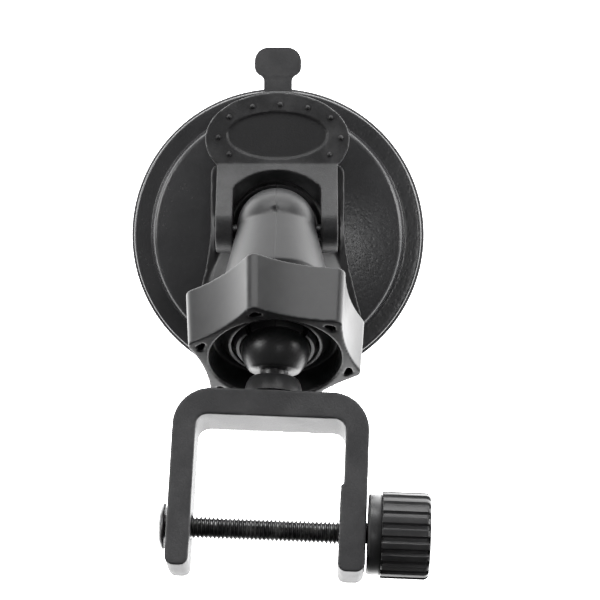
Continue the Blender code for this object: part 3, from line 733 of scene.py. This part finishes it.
@dataclass
class Stem(SubAssembly):
    """Saddle on the dome, upright post, leaning cone and the split collet that holds the ball."""

    cup: SuctionCup = field(kw_only=True)
    saddle_top: float = 7.8
    saddle_half: float = 12.45
    saddle_front: float = 13.0
    saddle_rim: float = 21.8
    lift: float = 0.9
    recess_half: float = 11.45
    recess_end: float = -7.7
    recess_z: float = 7.1
    boss_r: float = 8.6
    post_r: float = 7.2
    post_y: float = 0.8
    elbow_z: float = 15.5
    growth: float = 0.19
    cone_end: float = 13.5
    thread_r: float = 10.2
    thread_s: Point = (14.6, 20.5)
    thread_pitch: float = 1.2
    thread_deep: float = 0.55
    finger_root: Point = (24.6, 7.25)
    finger_tip: Point = (26.1, 6.9)
    ball_s: float = 25.8
    socket_r: float = 6.3
    seat_r: float = 5.5
    seat_s: float = 16.9
    pin_z: float = 13.2
    pin_slot: float = 1.8
    pin_travel: float = 1.5
    grain: float = 0.24

    def saddle(self) -> Piece:
        """Flared saddle with a sunk bed for the lever's arms and a round boss under the post."""
        side = [(12.45, 0.0), (12.95, -4.0), (13.3, -6.2), (13.9, -8.6), (14.6, -11.6), (15.6, -15.2)]
        start = math.degrees(math.atan2(-15.2, 15.6))
        rim = arc((0.0, 0.0), self.saddle_rim, start, -180.0 - start, 40)
        front = filleted([(8.0, self.saddle_front, 0.0), (self.saddle_half, self.saddle_front, 2.0),
                          (self.saddle_half, 0.0, 0.0)])[:-1]
        outline = front + side + rim[1:-1] + mirrored(side) + mirrored(front)
        body = plate("stem_and_saddle", outline, 3.0, 12.0)
        radii = [12.3, 14.0, 15.5, 17.0, 18.5, 20.0, self.saddle_rim + 1.0]
        cap = [(0.0, self.saddle_top), (11.4, self.saddle_top)]
        cap += [(r, self.cup.dome_z(r) + self.lift) for r in radii]
        cap += [(self.saddle_rim + 1.0, 0.0), (0.0, 0.0)]
        carve(body, turned("saddle_cap", cap, 128), Carve.KEEP)
        bed = [(self.recess_half, 20.0, 0.0), (self.recess_half, self.recess_end, 2.0)]
        bed += mirrored(bed)
        sunk = plate("arm_bed", filleted(bed), self.recess_z, 12.0)
        boss = rod("boss_core", self.boss_r, 5.0, 13.0, 96, Matrix.Translation((0.0, 0.5 * MM, 0.0)))
        carve(sunk, boss)
        return carve(body, sunk)

    def trunk(self, body: Piece) -> None:
        """Adds the bell-shaped foot, the post, its round shoulder and the leaning cone."""
        bell = [(0.0, 16.5), (7.0, 16.5), (7.2, 14.4), (7.7, 12.6), (8.4, 11.0), (9.4, 9.6), (10.6, 8.4),
                (12.0, 7.3), (13.6, 6.4), (13.8, 5.0), (0.0, 5.0)]
        flare = turned("stem_foot", bell, 96)
        sculpt(flare, lambda v: Vector((v.x, v.y * 0.94 - 9.5, v.z)))
        carve(body, flare, Carve.ADD)
        centre = Matrix.Translation((0.0, self.post_y * MM, 0.0))
        shoulder = arc((0.0, self.elbow_z), self.post_r, 0, 90, 24)
        shoulder[-1] = (0.0, self.elbow_z + self.post_r)
        carve(body, turned("post", [(0.0, 6.9), (self.post_r, 6.9)] + shoulder, 96, centre), Carve.ADD)
        neck = arc((0.0, 0.0), self.post_r - 0.03, -89, 0, 16)
        cone = [(0.0, -self.post_r)] + neck
        cone.append((self.post_r + self.growth * self.cone_end, self.cone_end))
        cone += [(9.4, 14.2), (9.4, 16.4), (0.0, 16.4)]
        carve(body, turned("leaning_cone", cone, 96, self.frames.lean), Carve.ADD)

    def hollow(self, body: Piece) -> None:
        """Clears the dome, the stud's bore, the pin's slot and the gate mark."""
        under = [(0.0, self.cup.dome_z(0.0) + 0.3)]
        under += [(r, self.cup.dome_z(r) + 0.3) for r in (4.0, 8.0, 12.0, 14.0, 16.0, 18.0, 20.0, 23.0)]
        under += [(23.0, -1.0), (0.0, -1.0)]
        carve(body, turned("dome_clearance", under, 128))
        carve(body, rod("spigot", 6.8, 5.6, 8.5, 96), Carve.ADD)
        bore = [(0.0, 16.6), (3.8, 16.6), (3.8, 9.4), (5.1, 9.4), (5.1, 0.0), (0.0, 0.0)]
        carve(body, turned("stud_bore", bore, 64))
        half, low = self.pin_slot, self.pin_z - self.pin_travel
        corners = [(-half, low - half, 1.7), (half, low - half, 1.7), (half, self.pin_z + half, 1.7),
                   (-half, self.pin_z + half, 1.7)]
        carve(body, plate("pin_slot", filleted(corners), -12.0, 12.0, ON_SIDE))
        gate = Matrix.Translation((-0.2 * MM, 4.0 * MM, 22.25 * MM))
        mark = turned("gate_mark", [(0.0, -0.7), (0.5, -0.5), (0.7, 0.0), (0.5, 0.5), (0.0, 0.7)], 24, gate)
        carve(body, mark)

    def collet(self) -> Piece:
        """Threaded end with four slots and the ball's round socket."""
        tip, root = self.finger_tip, self.finger_root
        outside = [(0.0, 13.0), (9.0, 13.0)]
        start, end = self.thread_s
        root_r = self.thread_r - self.thread_deep
        count = int((end - start) / self.thread_pitch)
        for i in range(count):
            foot = start + self.thread_pitch * i
            outside += [(root_r, foot), (self.thread_r, foot + 0.35), (self.thread_r, foot + 0.6)]
            outside.append((root_r, foot + 0.95))
        outside += [(self.thread_r - 0.4, end), root[::-1]]
        outside += [(tip[1] + 0.12, tip[0] - 0.3), (tip[1] - 0.1, tip[0])]
        first = math.degrees(math.asin((tip[0] - self.ball_s) / self.socket_r))
        last = -math.degrees(math.acos(self.seat_r / self.socket_r))
        inside = [(r, self.ball_s + s) for r, s in arc((0.0, 0.0), self.socket_r, first, last, 18)]
        inside += [(self.seat_r, self.seat_s), (0.0, self.seat_s)]
        sleeve = turned("stem_collet", outside + inside, 96, self.frames.lean)
        for index in range(4):
            turn = self.frames.lean @ Matrix.Rotation(math.radians(41.0 + 90.0 * index), 4, "Z")
            slot = plate("collet_slot", box_outline((-0.6, 0.6), (2.0, 13.0)), 19.5, 30.0, turn)
            carve(sleeve, slot)
        return shade(sleeve, 30.0)

    def build(self) -> None:
        """Builds the stem and its collet, which are one moulding."""
        body = self.saddle()
        self.trunk(body)
        self.hollow(body)
        mould(body, self.grain, 4)
        finish = STEM_SATIN.build()
        self.fit(body, finish, "satin_black", "base", "ball_stem")
        self.fit(self.collet(), finish, "satin_black", "base", "ball_stem")


# ---------------------------------------------------------------- lever


@dataclass
class CamLever(SubAssembly):
    """Lever with two cam arms, a sloping crosspiece and a dotted oval thumb pad."""

    pin_z: float = 13.2
    bore_r: float = 1.8
    arm_out: float = 11.1
    arm_in: float = 8.0
    top_r: float = 4.95
    lock_r: float = 5.0
    back_r: float = 3.5
    ramp: float = 37.0
    foot: Point = (12.6, 9.9)
    arch: Point = (1.25, 5.4)
    pad_centre: Point = (17.3, 8.2)
    pad_semi: Point = (13.3, 8.7)
    pad_t: float = 2.2
    pad_drop: float = 5.5
    recess_semi: Point = (9.3, 4.4)
    recess_depth: float = 0.4
    dot_r: float = 0.5
    dots: tuple[Point, ...] = (
        (-10.9, 17.6), (-8.9, 21.4), (-4.6, 23.3), (0.5, 23.7), (5.6, 23.1), (9.8, 21.2), (11.7, 17.5),
        (9.6, 14.4), (-8.9, 14.5),
    )
    grain: float = 0.2

    def side_profile(self) -> list[Point]:
        """Side view of the arms: ramp, round top, cam spiral and flat foot."""
        points = [self.foot]
        for i in range(33):
            share = i / 32
            angle = math.radians(90.0 - self.ramp + (90.0 + self.ramp) * share)
            radius = self.top_r + (self.back_r - self.top_r) * share
            points.append((radius * math.cos(angle), self.pin_z + radius * math.sin(angle)))
        for i in range(1, 25):
            share = i / 24
            angle = math.pi * (1 + share / 2)
            radius = self.back_r + (self.lock_r - self.back_r) * share
            points.append((radius * math.cos(angle), self.pin_z + radius * math.sin(angle)))
        toe = self.foot[0] + 0.9
        return points + [(9.4, self.pin_z - self.lock_r), (toe, 7.75), (toe, 9.2)]

    def pad_frame(self) -> Matrix:
        """The thumb pad's own axes."""
        spot = Vector((0.0, *self.pad_centre)) * MM
        return Matrix.Translation(spot) @ Matrix.Rotation(-math.radians(self.pad_drop), 4, "X")

    def blank(self) -> Piece:
        """Arms, crosspiece and pad joined, with the recess, the arched cut-out and the pin's bore."""
        lever = plate("thumb_lever", self.side_profile(), -self.arm_out, self.arm_out, ON_SIDE)
        corner = math.degrees(math.asin((self.foot[0] - self.pad_centre[0]) / self.pad_semi[1]))
        pad_outline = oval((0.0, 0.0), self.pad_semi, 120, corner, 180.0 - corner)
        pad = plate("thumb_pad", pad_outline, -self.pad_t / 2, self.pad_t / 2, self.pad_frame())
        carve(lever, pad, Carve.ADD)
        low = self.pad_t / 2 - self.recess_depth
        sunk = plate("pad_recess", oval((0.0, 0.7), self.recess_semi, 96), low, 4.0, self.pad_frame())
        carve(lever, sunk)
        depth = self.arch[1] - self.arch[0]
        radius = (self.arm_in**2 + depth**2) / (2 * depth)
        spread = math.degrees(math.asin((self.arm_in - 0.9) / radius))
        crown = arc((0.0, self.arch[0] + radius), radius, -90 - spread, -90 + spread, 32)
        cheek = crown[-1][1]
        side = [(self.arm_in - 0.3, cheek + 0.55), (self.arm_in, cheek + 1.4), (self.arm_in, 40.0)]
        cutout = crown + side + mirrored(side)
        slope = math.radians(self.ramp)
        up_ramp = Vector((0.0, -math.cos(slope), math.sin(slope)))
        stand = Frames.axes(Vector((0.0, *self.foot)) * MM, Vector((1.0, 0.0, 0.0)),
                            Vector((1.0, 0.0, 0.0)).cross(up_ramp))
        carve(lever, plate("arm_cutout", cutout, -40.0, 40.0, stand))
        across = Matrix.Translation((0.0, 0.0, self.pin_z * MM)) @ Matrix.Rotation(math.pi / 2, 4, "Y")
        return carve(lever, rod("arm_bore", self.bore_r, -20.0, 20.0, 64, across))

    def grip_dots(self) -> list[Piece]:
        """Nine small round dots around the recess, one modelled and the rest copied."""
        dome = [(self.dot_r, -0.3)] + arc((0.0, 0.0), self.dot_r, 0, 80, 5) + [(0.0, self.dot_r)]
        first = turned("grip_dot", [(0.0, -0.3)] + dome, 16)
        frame = self.pad_frame()
        top = Matrix.Translation((0.0, 0.0, (self.pad_t / 2 - 0.03) * MM))
        made = []
        for x, y in self.dots:
            dot = first.copy()
            dot.data = first.data.copy()
            bpy.context.collection.objects.link(dot)
            along = (y - self.pad_centre[0]) / math.cos(math.radians(self.pad_drop))
            made.append(seat(dot, frame @ Matrix.Translation((x * MM, along * MM, 0.0)) @ top))
        bpy.data.objects.remove(first, do_unlink=True)
        return made

    def build(self) -> None:
        """Builds the lever."""
        lever = mould(self.blank(), self.grain, 3)
        join(lever, *self.grip_dots())
        shade(lever, 60.0)
        self.fit(lever, LEVER_MATTE.build(), "lever_matte", "lever", "cam_lever")


@dataclass
class LeverPin(SubAssembly):
    """Steel pin with chamfered ends through the lever's arms."""

    radius: float = 1.5
    half: float = 10.6
    chamfer: float = 0.3

    def build(self) -> None:
        """Builds the pin."""
        low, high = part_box("lever_pin")
        across = Matrix.Translation((low + high) / 2) @ Matrix.Rotation(math.pi / 2, 4, "Y")
        r, h, c = self.radius, self.half, self.chamfer
        profile = [(0.0, -h), (r - c, -h), (r, c - h), (r, h - c), (r - c, h), (0.0, h)]
        pin = shade(turned("hinge_pin", profile, 48, across))
        self.fit(pin, PIN_STEEL.build(), "pin_steel", "stud", "lever_pin")


# ---------------------------------------------------------------- lock nut and ball


@dataclass
class LockNut(SubAssembly):
    """Six-lobed nut with a sunk ring in front, a squeezing cone inside and hollow lobes."""

    reach: Point = (17.25, 28.4)
    tip_r: float = 16.25
    front_scale: float = 0.95
    tip_round: float = 1.7
    valley_r: float = 13.45
    turn: float = -16.1
    lobes: int = 6
    throat_r: float = 7.6
    thread_r: float = 10.6
    thread_end: float = 20.6
    funnel_r: float = 11.5
    moat: tuple[Point, ...] = ((11.2, 23.5), (9.9, 23.5), (8.2, 25.6))
    mouth: tuple[Point, ...] = ((11.4, 18.15), (11.4, 15.0))
    mouth_step: float = 18.55
    pocket: tuple[Corner, ...] = ((14.1, 0.0, 0.4), (12.7, 2.2, 0.4), (12.7, -2.2, 0.4))
    pocket_s: Point = (21.0, 30.0)
    grain: float = 0.22

    def outline(self) -> list[Point]:
        """Round lobe tips joined by concave arcs that meet them on a tangent."""
        tip = self.tip_r - self.tip_round
        half = math.pi / self.lobes
        lean = tip * math.cos(half)
        gap = self.valley_r**2 + tip**2 - 2 * self.valley_r * lean - self.tip_round**2
        hollow = gap / (2 * (self.tip_round - self.valley_r + lean))
        valley = Vector((math.cos(half), math.sin(half))) * (self.valley_r + hollow)
        toward = valley - Vector((tip, 0.0))
        end = math.degrees(math.atan2(toward.y, toward.x))
        points: list[Point] = []
        for lobe in range(self.lobes):
            turn = Matrix.Rotation(math.radians(self.turn) + 2 * half * lobe, 2)
            stretch = arc((tip, 0.0), self.tip_round, -end, end, 16)
            last = 2 * math.degrees(half) - end + 180.0
            stretch += arc((valley.x, valley.y), hollow, end + 180.0, last, 20)[1:-1]
            points += [tuple(turn @ Vector(p)) for p in stretch]
        return points

    def build(self) -> None:
        """Builds the nut."""
        lean = self.frames.lean
        nut = plate("lobed_lock_nut", self.outline(), *self.reach, lean, self.front_scale)
        front = self.reach[1]
        bore = [(0.0, 30.0), (13.6, 30.0), (self.funnel_r + 0.3, front + 0.3), (self.funnel_r, front - 0.4)]
        bore += [*self.moat, (self.throat_r, 25.5), (self.throat_r, 25.0), (self.thread_r, self.thread_end)]
        bore += [(self.thread_r, self.mouth_step), *self.mouth, (0.0, 15.0)]
        carve(nut, turned("nut_bore", bore, 128, lean))
        for lobe in range(self.lobes):
            turn = Matrix.Rotation(math.radians(self.turn) + 2 * math.pi * lobe / self.lobes, 4, "Z")
            carve(nut, plate("lobe_pocket", filleted(self.pocket, 4), *self.pocket_s, lean @ turn))
        mould(nut, self.grain, 4)
        self.fit(nut, NUT_SATIN.build(), "nut_satin", "nut", "lock_nut")


@dataclass
class BallStud(SubAssembly):
    """Ball with a flat, a short neck and a cone that runs into the bracket's bar."""

    ball_r: float = 6.1
    flat: float = 4.3
    neck_r: float = 2.4
    foot: tuple[Point, ...] = ((2.4, 5.3), (2.6, 5.5), (4.1, 5.75), (4.3, 5.9), (4.7, 6.6), (5.2, 8.75))
    shank_r: float = 2.2
    shank_end: float = 12.2

    def build(self) -> None:
        """Builds the stud."""
        top = math.degrees(math.asin(self.flat / self.ball_r))
        profile = arc((0.0, 0.0), self.ball_r, -90, top - 3, 40)
        profile[0] = (0.0, -self.ball_r)
        edge = profile[-1][0]
        profile += [(edge - 0.25, self.flat - 0.04), (edge - 0.6, self.flat), (self.neck_r + 0.5, self.flat)]
        profile += [(self.neck_r + 0.1, self.flat + 0.15), (self.neck_r, self.flat + 0.5), *self.foot]
        profile += [(self.shank_r, self.foot[-1][1]), (self.shank_r, self.shank_end), (0.0, self.shank_end)]
        stud = shade(turned("ball_and_neck", profile, 96, self.frames.along_legs()), 40.0)
        self.fit(stud, BALL_GLOSS.build(), "ball_gloss", "ball", "ball_stud")


# ---------------------------------------------------------------- bracket, screw and knob


@dataclass
class Bracket(SubAssembly):
    """U-shaped strap with round edges and a ribbed pad on the knob-side leg."""

    bar_y: float = 9.05
    bar_t: float = 4.7
    leg_end: float = 39.8
    half: float = 16.75
    leg_t: float = 4.0
    strap: float = 11.0
    pad_step: float = 0.6
    pad_start: float = 25.2
    rib_pitch: float = 0.9
    screw_y: float = 32.3
    screw_r: float = 2.3
    shank_r: float = 2.5
    shank_depth: float = 12.5

    def strap_outline(self) -> list[Point]:
        """Plan of the strap, with the pad's small ribs."""
        inner, step = self.half - self.leg_t, self.half - self.leg_t - self.pad_step
        ribs = []
        y = -self.leg_end + 2.2
        while y < -self.pad_start - self.rib_pitch:
            crest = step + 0.22
            ribs += [(step, y, 0.0), (step, y + 0.5, 0.0), (crest, y + 0.6, 0.0), (crest, y + 0.8, 0.0)]
            y += self.rib_pitch
        corners = [
            (-self.half, -self.leg_end, 1.6), (-self.half, -self.bar_y, 6.5), (self.half, -self.bar_y, 6.5),
            (self.half, -self.leg_end, 1.6), (step, -self.leg_end, 1.4), *ribs, (step, -self.pad_start, 0.0),
            (inner, -self.pad_start + 0.4, 0.0), (inner, -self.bar_y - self.bar_t, 2.0),
            (-inner, -self.bar_y - self.bar_t, 2.0), (-inner, -self.leg_end, 1.4),
        ]
        return filleted(corners, 12)

    def build(self) -> None:
        """Builds the bracket."""
        frame = self.frames.bracket
        strap = plate("clamp_bracket", self.strap_outline(), -self.strap / 2, self.strap / 2, frame)
        across = self.frames.along_screw(self.screw_y)
        carve(strap, rod("screw_bore", self.screw_r, -20.0, 20.0, 64, across))
        shank = rod("shank_bore", self.shank_r, 6.0, self.shank_depth, 64, self.frames.along_legs())
        carve(strap, shank)
        mould(strap, 0.2, 10)
        self.fit(strap, BRACKET_MATTE.build(), "bracket_matte", "bracket", "u_bracket")


@dataclass
class ClampScrew(SubAssembly):
    """Through screw with a real thread and a low domed head."""

    drop: float = 32.3
    major_r: float = 2.0
    minor_r: float = 1.56
    pitch: float = 0.7
    end: float = 25.0
    head_x: Point = (-18.5, -17.25)
    head_r: float = 3.95
    recess: Point = (1.5, 0.35)

    def thread(self) -> Piece:
        """Winds one turn's profile along the screw and trims both ends flat."""
        clear_bench()
        bpy.ops.mesh.primitive_plane_add(size=MM)
        rod = bpy.context.object
        rod.name = rod.data.name = "clamp_screw_threaded"
        start = self.head_x[1] - self.pitch
        flank = (self.major_r - self.minor_r) * 0.5
        crest, root = self.pitch / 8, self.pitch - self.pitch / 8 - 2 * flank
        switch(Mode.EDIT)
        bpy.ops.mesh.select_mode(type="VERT")
        bpy.ops.mesh.select_all(action="SELECT")
        bpy.ops.mesh.merge(type="CENTER")
        bpy.ops.transform.translate(value=(self.minor_r * MM, 0.0, start * MM))
        rise = self.major_r - self.minor_r
        for out, along in ((rise, flank), (0.0, crest), (-rise, flank), (0.0, root)):
            bpy.ops.mesh.extrude_vertices_move(TRANSFORM_OT_translate={"value": (out * MM, 0.0, along * MM)})
        switch(Mode.OBJECT)
        turns = int((self.end - start) / self.pitch) + 2
        apply(rod, "SCREW", steps=32, render_steps=32, screw_offset=self.pitch * MM, iterations=turns,
              use_merge_vertices=True, merge_threshold=0.00001)
        take_up(rod)
        switch(Mode.EDIT)
        for height, outward in ((self.head_x[1] - 0.1, -1.0), (self.end, 1.0)):
            bpy.ops.mesh.select_all(action="SELECT")
            bpy.ops.mesh.bisect(plane_co=(0.0, 0.0, height * MM), plane_no=(0.0, 0.0, outward), use_fill=True,
                                clear_outer=True)
        close_up()
        return rod

    def head(self) -> Piece:
        """Low domed head with a cross recess, on a plain neck."""
        low, high = self.head_x
        r = self.head_r
        profile = [(0.0, low), (0.8, low + 0.02), (1.6, low + 0.08), (2.4, low + 0.2), (3.1, low + 0.4),
                   (3.6, low + 0.65), (r - 0.08, low + 0.9), (r, high - 0.2), (r - 0.15, high), (2.0, high),
                   (1.95, high + 1.0), (0.0, high + 1.0)]
        head = turned("screw_head", profile, 64)
        arm, half = self.recess
        for span in (((-arm, arm), (-half, half)), ((-half, half), (-arm, arm))):
            carve(head, plate("cross_recess", box_outline(*span), low - 1.0, low + 0.7))
        return head

    def build(self) -> None:
        """Builds the screw."""
        screw = join(self.thread(), self.head())
        seat(screw, self.frames.along_screw(self.drop))
        shade(screw, 25.0)
        self.fit(screw, BLACK_STEEL.build(), "black_steel", "screw", "clamp_screw")


@dataclass
class Knob(SubAssembly):
    """Knob with a smooth collar, a fluted grip with a rounded end and a pocket for its insert."""

    drop: float = 32.3
    collar_r: float = 6.9
    collar_x: Point = (17.05, 19.35)
    grip_r: float = 7.35
    end: float = 27.6
    round_r: float = 1.0
    flutes: int = 21
    flute_share: float = 0.3
    flute_depth: float = 0.42
    insert_r: float = 3.9
    insert_end: float = 23.8
    tip: Point = (2.4, 25.8)

    def flute(self, spot: Vector) -> Vector:
        """Sinks the grip's skin into straight flutes that fade out over the rounded end."""
        radius = math.hypot(spot.x, spot.y)
        if radius < self.collar_r + 0.05 or spot.z < self.collar_x[1]:
            return spot
        turn = (math.atan2(spot.y, spot.x) / (2 * math.pi) * self.flutes) % 1.0
        off = abs(turn - 0.5)
        deep = min(max((self.flute_share - off) / 0.14, 0.0), 1.0)
        shrink = (radius - self.flute_depth * deep * deep * (3 - 2 * deep)) / radius
        return Vector((spot.x * shrink, spot.y * shrink, spot.z))

    def build(self) -> None:
        """Builds the knob."""
        start, step = self.collar_x
        profile = [(0.0, self.tip[1]), self.tip]
        profile += [(self.tip[0], self.insert_end), (self.insert_r, self.insert_end)]
        profile += [(self.insert_r, start), (self.collar_r - 0.3, start), (self.collar_r, start + 0.3)]
        profile += [(self.collar_r, step - 0.25), (self.collar_r - 0.2, step), (self.grip_r - 0.12, step)]
        profile += [(self.grip_r, step + 0.12), (self.grip_r, 21.0), (self.grip_r, 23.0), (self.grip_r, 25.0)]
        profile += arc((self.grip_r - self.round_r, self.end - self.round_r), self.round_r, 0, 90, 8)
        profile += [(5.0, self.end), (4.7, self.end - 0.15), (0.0, self.end - 0.15)]
        knob = turned("fluted_knob", profile, self.flutes * 20)
        sculpt(knob, self.flute)
        seat(knob, self.frames.along_screw(self.drop))
        shade(knob, 40.0)
        self.fit(knob, KNOB_BLACK.build(), "knob_black", "knob", "clamp_knob")


# ---------------------------------------------------------------- carried-over nodes and the studio


def dress_hidden_nodes(nodes: dict[str, Piece]) -> None:
    """Gives the pieces that stay inside the mount their finishes."""
    finishes = {
        "membrane_stud": STUD_PLASTIC,
        "return_spring": SPRING_STEEL,
        "base_screw_left": SCREW_STEEL,
        "base_screw_right": SCREW_STEEL,
        "ball_seat": SEAT_GREY,
        "knob_insert": BRASS,
    }
    made: dict[str, bpy.types.Material] = {}
    for name, finish in finishes.items():
        material = made.setdefault(finish.name, None) or finish.build()
        made[finish.name] = material
        mesh = nodes[name].data
        mesh.materials.clear()
        mesh.materials.append(material)
        LOG.info("%s keeps its shape, dressed in %s", name, finish.name)


@dataclass(frozen=True)
class Softbox:
    """A rectangular studio light.

    Attributes:
        name: The light's name.
        place: Where it stands.
        size: Its width and height.
        power: Its power in watts.
    """

    name: str
    place: tuple[float, float, float]
    size: Point
    power: float

    def hang(self, target: Vector) -> None:
        """Hangs the light and points it at a target."""
        light = bpy.data.lights.new(self.name, "AREA")
        light.shape = "RECTANGLE"
        light.size, light.size_y = self.size[0] * MM, self.size[1] * MM
        light.energy = self.power
        lamp = bpy.data.objects.new(self.name, light)
        bpy.context.scene.collection.objects.link(lamp)
        spot = Vector(self.place) * MM
        lamp.location = spot
        lamp.rotation_euler = (target - spot).to_track_quat("-Z", "Y").to_euler()


@dataclass
class Studio:
    """Pale floor, soft lights and the camera."""

    camera_place: tuple[float, float, float] = (6.0, -12.3, 400.0)
    camera_turn: float = 0.00465
    lens: float = 127.2
    floor_z: float = -0.15
    horizon: float = 1.35
    zenith: float = 0.38
    dusk: Point = (0.15, 0.75)
    glow: float = 4.5
    pool: Point = (75.0, 150.0)

    def floor(self) -> None:
        """Lays a wide plain floor."""
        clear_bench()
        bpy.ops.mesh.primitive_plane_add(size=4.0, location=(0.0, 0.0, self.floor_z * MM))
        floor = bpy.context.object
        floor.name = "studio_floor"
        shader = Shader("studio_floor")
        pale = shader.noise(60.0, 2.0).between(0.2, 0.8)
        x, y = shader.axis("X") - self.camera_place[0] * MM, shader.axis("Y") - self.camera_place[1] * MM
        away = (x * x + y * y).root().between(self.pool[0] * MM, self.pool[1] * MM)
        shader.set(
            Base_Color=shader.blend(pale, (0.88, 0.88, 0.88), (0.91, 0.91, 0.91)),
            Roughness=0.9,
            Emission_Color=shader.blend(away, (1.0, 1.0, 1.0), (0.0, 0.0, 0.0)),
            Emission_Strength=self.glow,
        )
        floor.data.materials.append(shader.material)

    def sky(self, tree: bpy.types.NodeTree, background: bpy.types.Node) -> None:
        """Makes the room bright near the horizon and dim overhead."""
        where = tree.nodes.new("ShaderNodeTexCoord")
        split = tree.nodes.new("ShaderNodeSeparateXYZ")
        fall = tree.nodes.new("ShaderNodeMapRange")
        fall.interpolation_type = "SMOOTHSTEP"
        low, high = self.dusk
        levels = {"From Min": low, "From Max": high, "To Min": self.horizon, "To Max": self.zenith}
        for name, value in levels.items():
            fall.inputs[name].default_value = value
        tree.links.new(where.outputs["Generated"], split.inputs[0])
        tree.links.new(split.outputs["Z"], fall.inputs["Value"])
        tree.links.new(fall.outputs[0], background.inputs["Strength"])

    def lights(self) -> None:
        """Hangs the softboxes and sets the room's even light."""
        world = bpy.data.worlds.new("studio_room")
        world.use_nodes = True
        background = world.node_tree.nodes["Background"]
        self.sky(world.node_tree, background)
        bpy.context.scene.world = world
        target = Vector((0.0, -10.0, 15.0)) * MM
        for box in (
            Softbox("left_softbox", (-520.0, 180.0, 330.0), (300.0, 300.0), 2.2),
            Softbox("right_softbox", (600.0, 160.0, 190.0), (300.0, 300.0), 2.2),
            Softbox("back_softbox", (0.0, 700.0, 250.0), (900.0, 300.0), 4.6),
            Softbox("high_spot", (217.0, -8.0, 880.0), (45.0, 45.0), 0.35),
        ):
            box.hang(target)

    def camera(self) -> None:
        """Places the camera above the mount, looking down."""
        lens = bpy.data.cameras.new("camera")
        lens.lens = self.lens
        lens.sensor_width = 36.0
        lens.clip_start, lens.clip_end = 0.01, 10.0
        camera = bpy.data.objects.new("camera", lens)
        bpy.context.scene.collection.objects.link(camera)
        camera.location = Vector(self.camera_place) * MM
        camera.rotation_euler = (0.0, self.camera_turn, 0.0)
        bpy.context.scene.camera = camera

    def build(self) -> None:
        """Sets up the whole studio."""
        self.camera()
        self.floor()
        self.lights()
        bpy.context.scene.view_settings.view_transform = "Standard"


def corners(box: tuple[Vector, Vector]) -> list[list[float]]:
    """A box's two corners as plain lists."""
    return [[float(value) for value in corner] for corner in box]


def main() -> None:
    """Builds every sub-assembly around the frame and sets up the studio."""
    logging.basicConfig(level=logging.INFO, format="%(name)s: %(message)s")
    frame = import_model()
    frames = Frames.from_joints(frame["joints"])
    cup = SuctionCup(frames)
    for assembly in (
        cup,
        Stem(frames, cup=cup),
        CamLever(frames),
        LeverPin(frames),
        LockNut(frames),
        BallStud(frames),
        Bracket(frames),
        ClampScrew(frames),
        Knob(frames),
    ):
        assembly.build()
    dress_hidden_nodes(frame["nodes"])
    Studio().build()


if __name__ == "__main__":
    main()
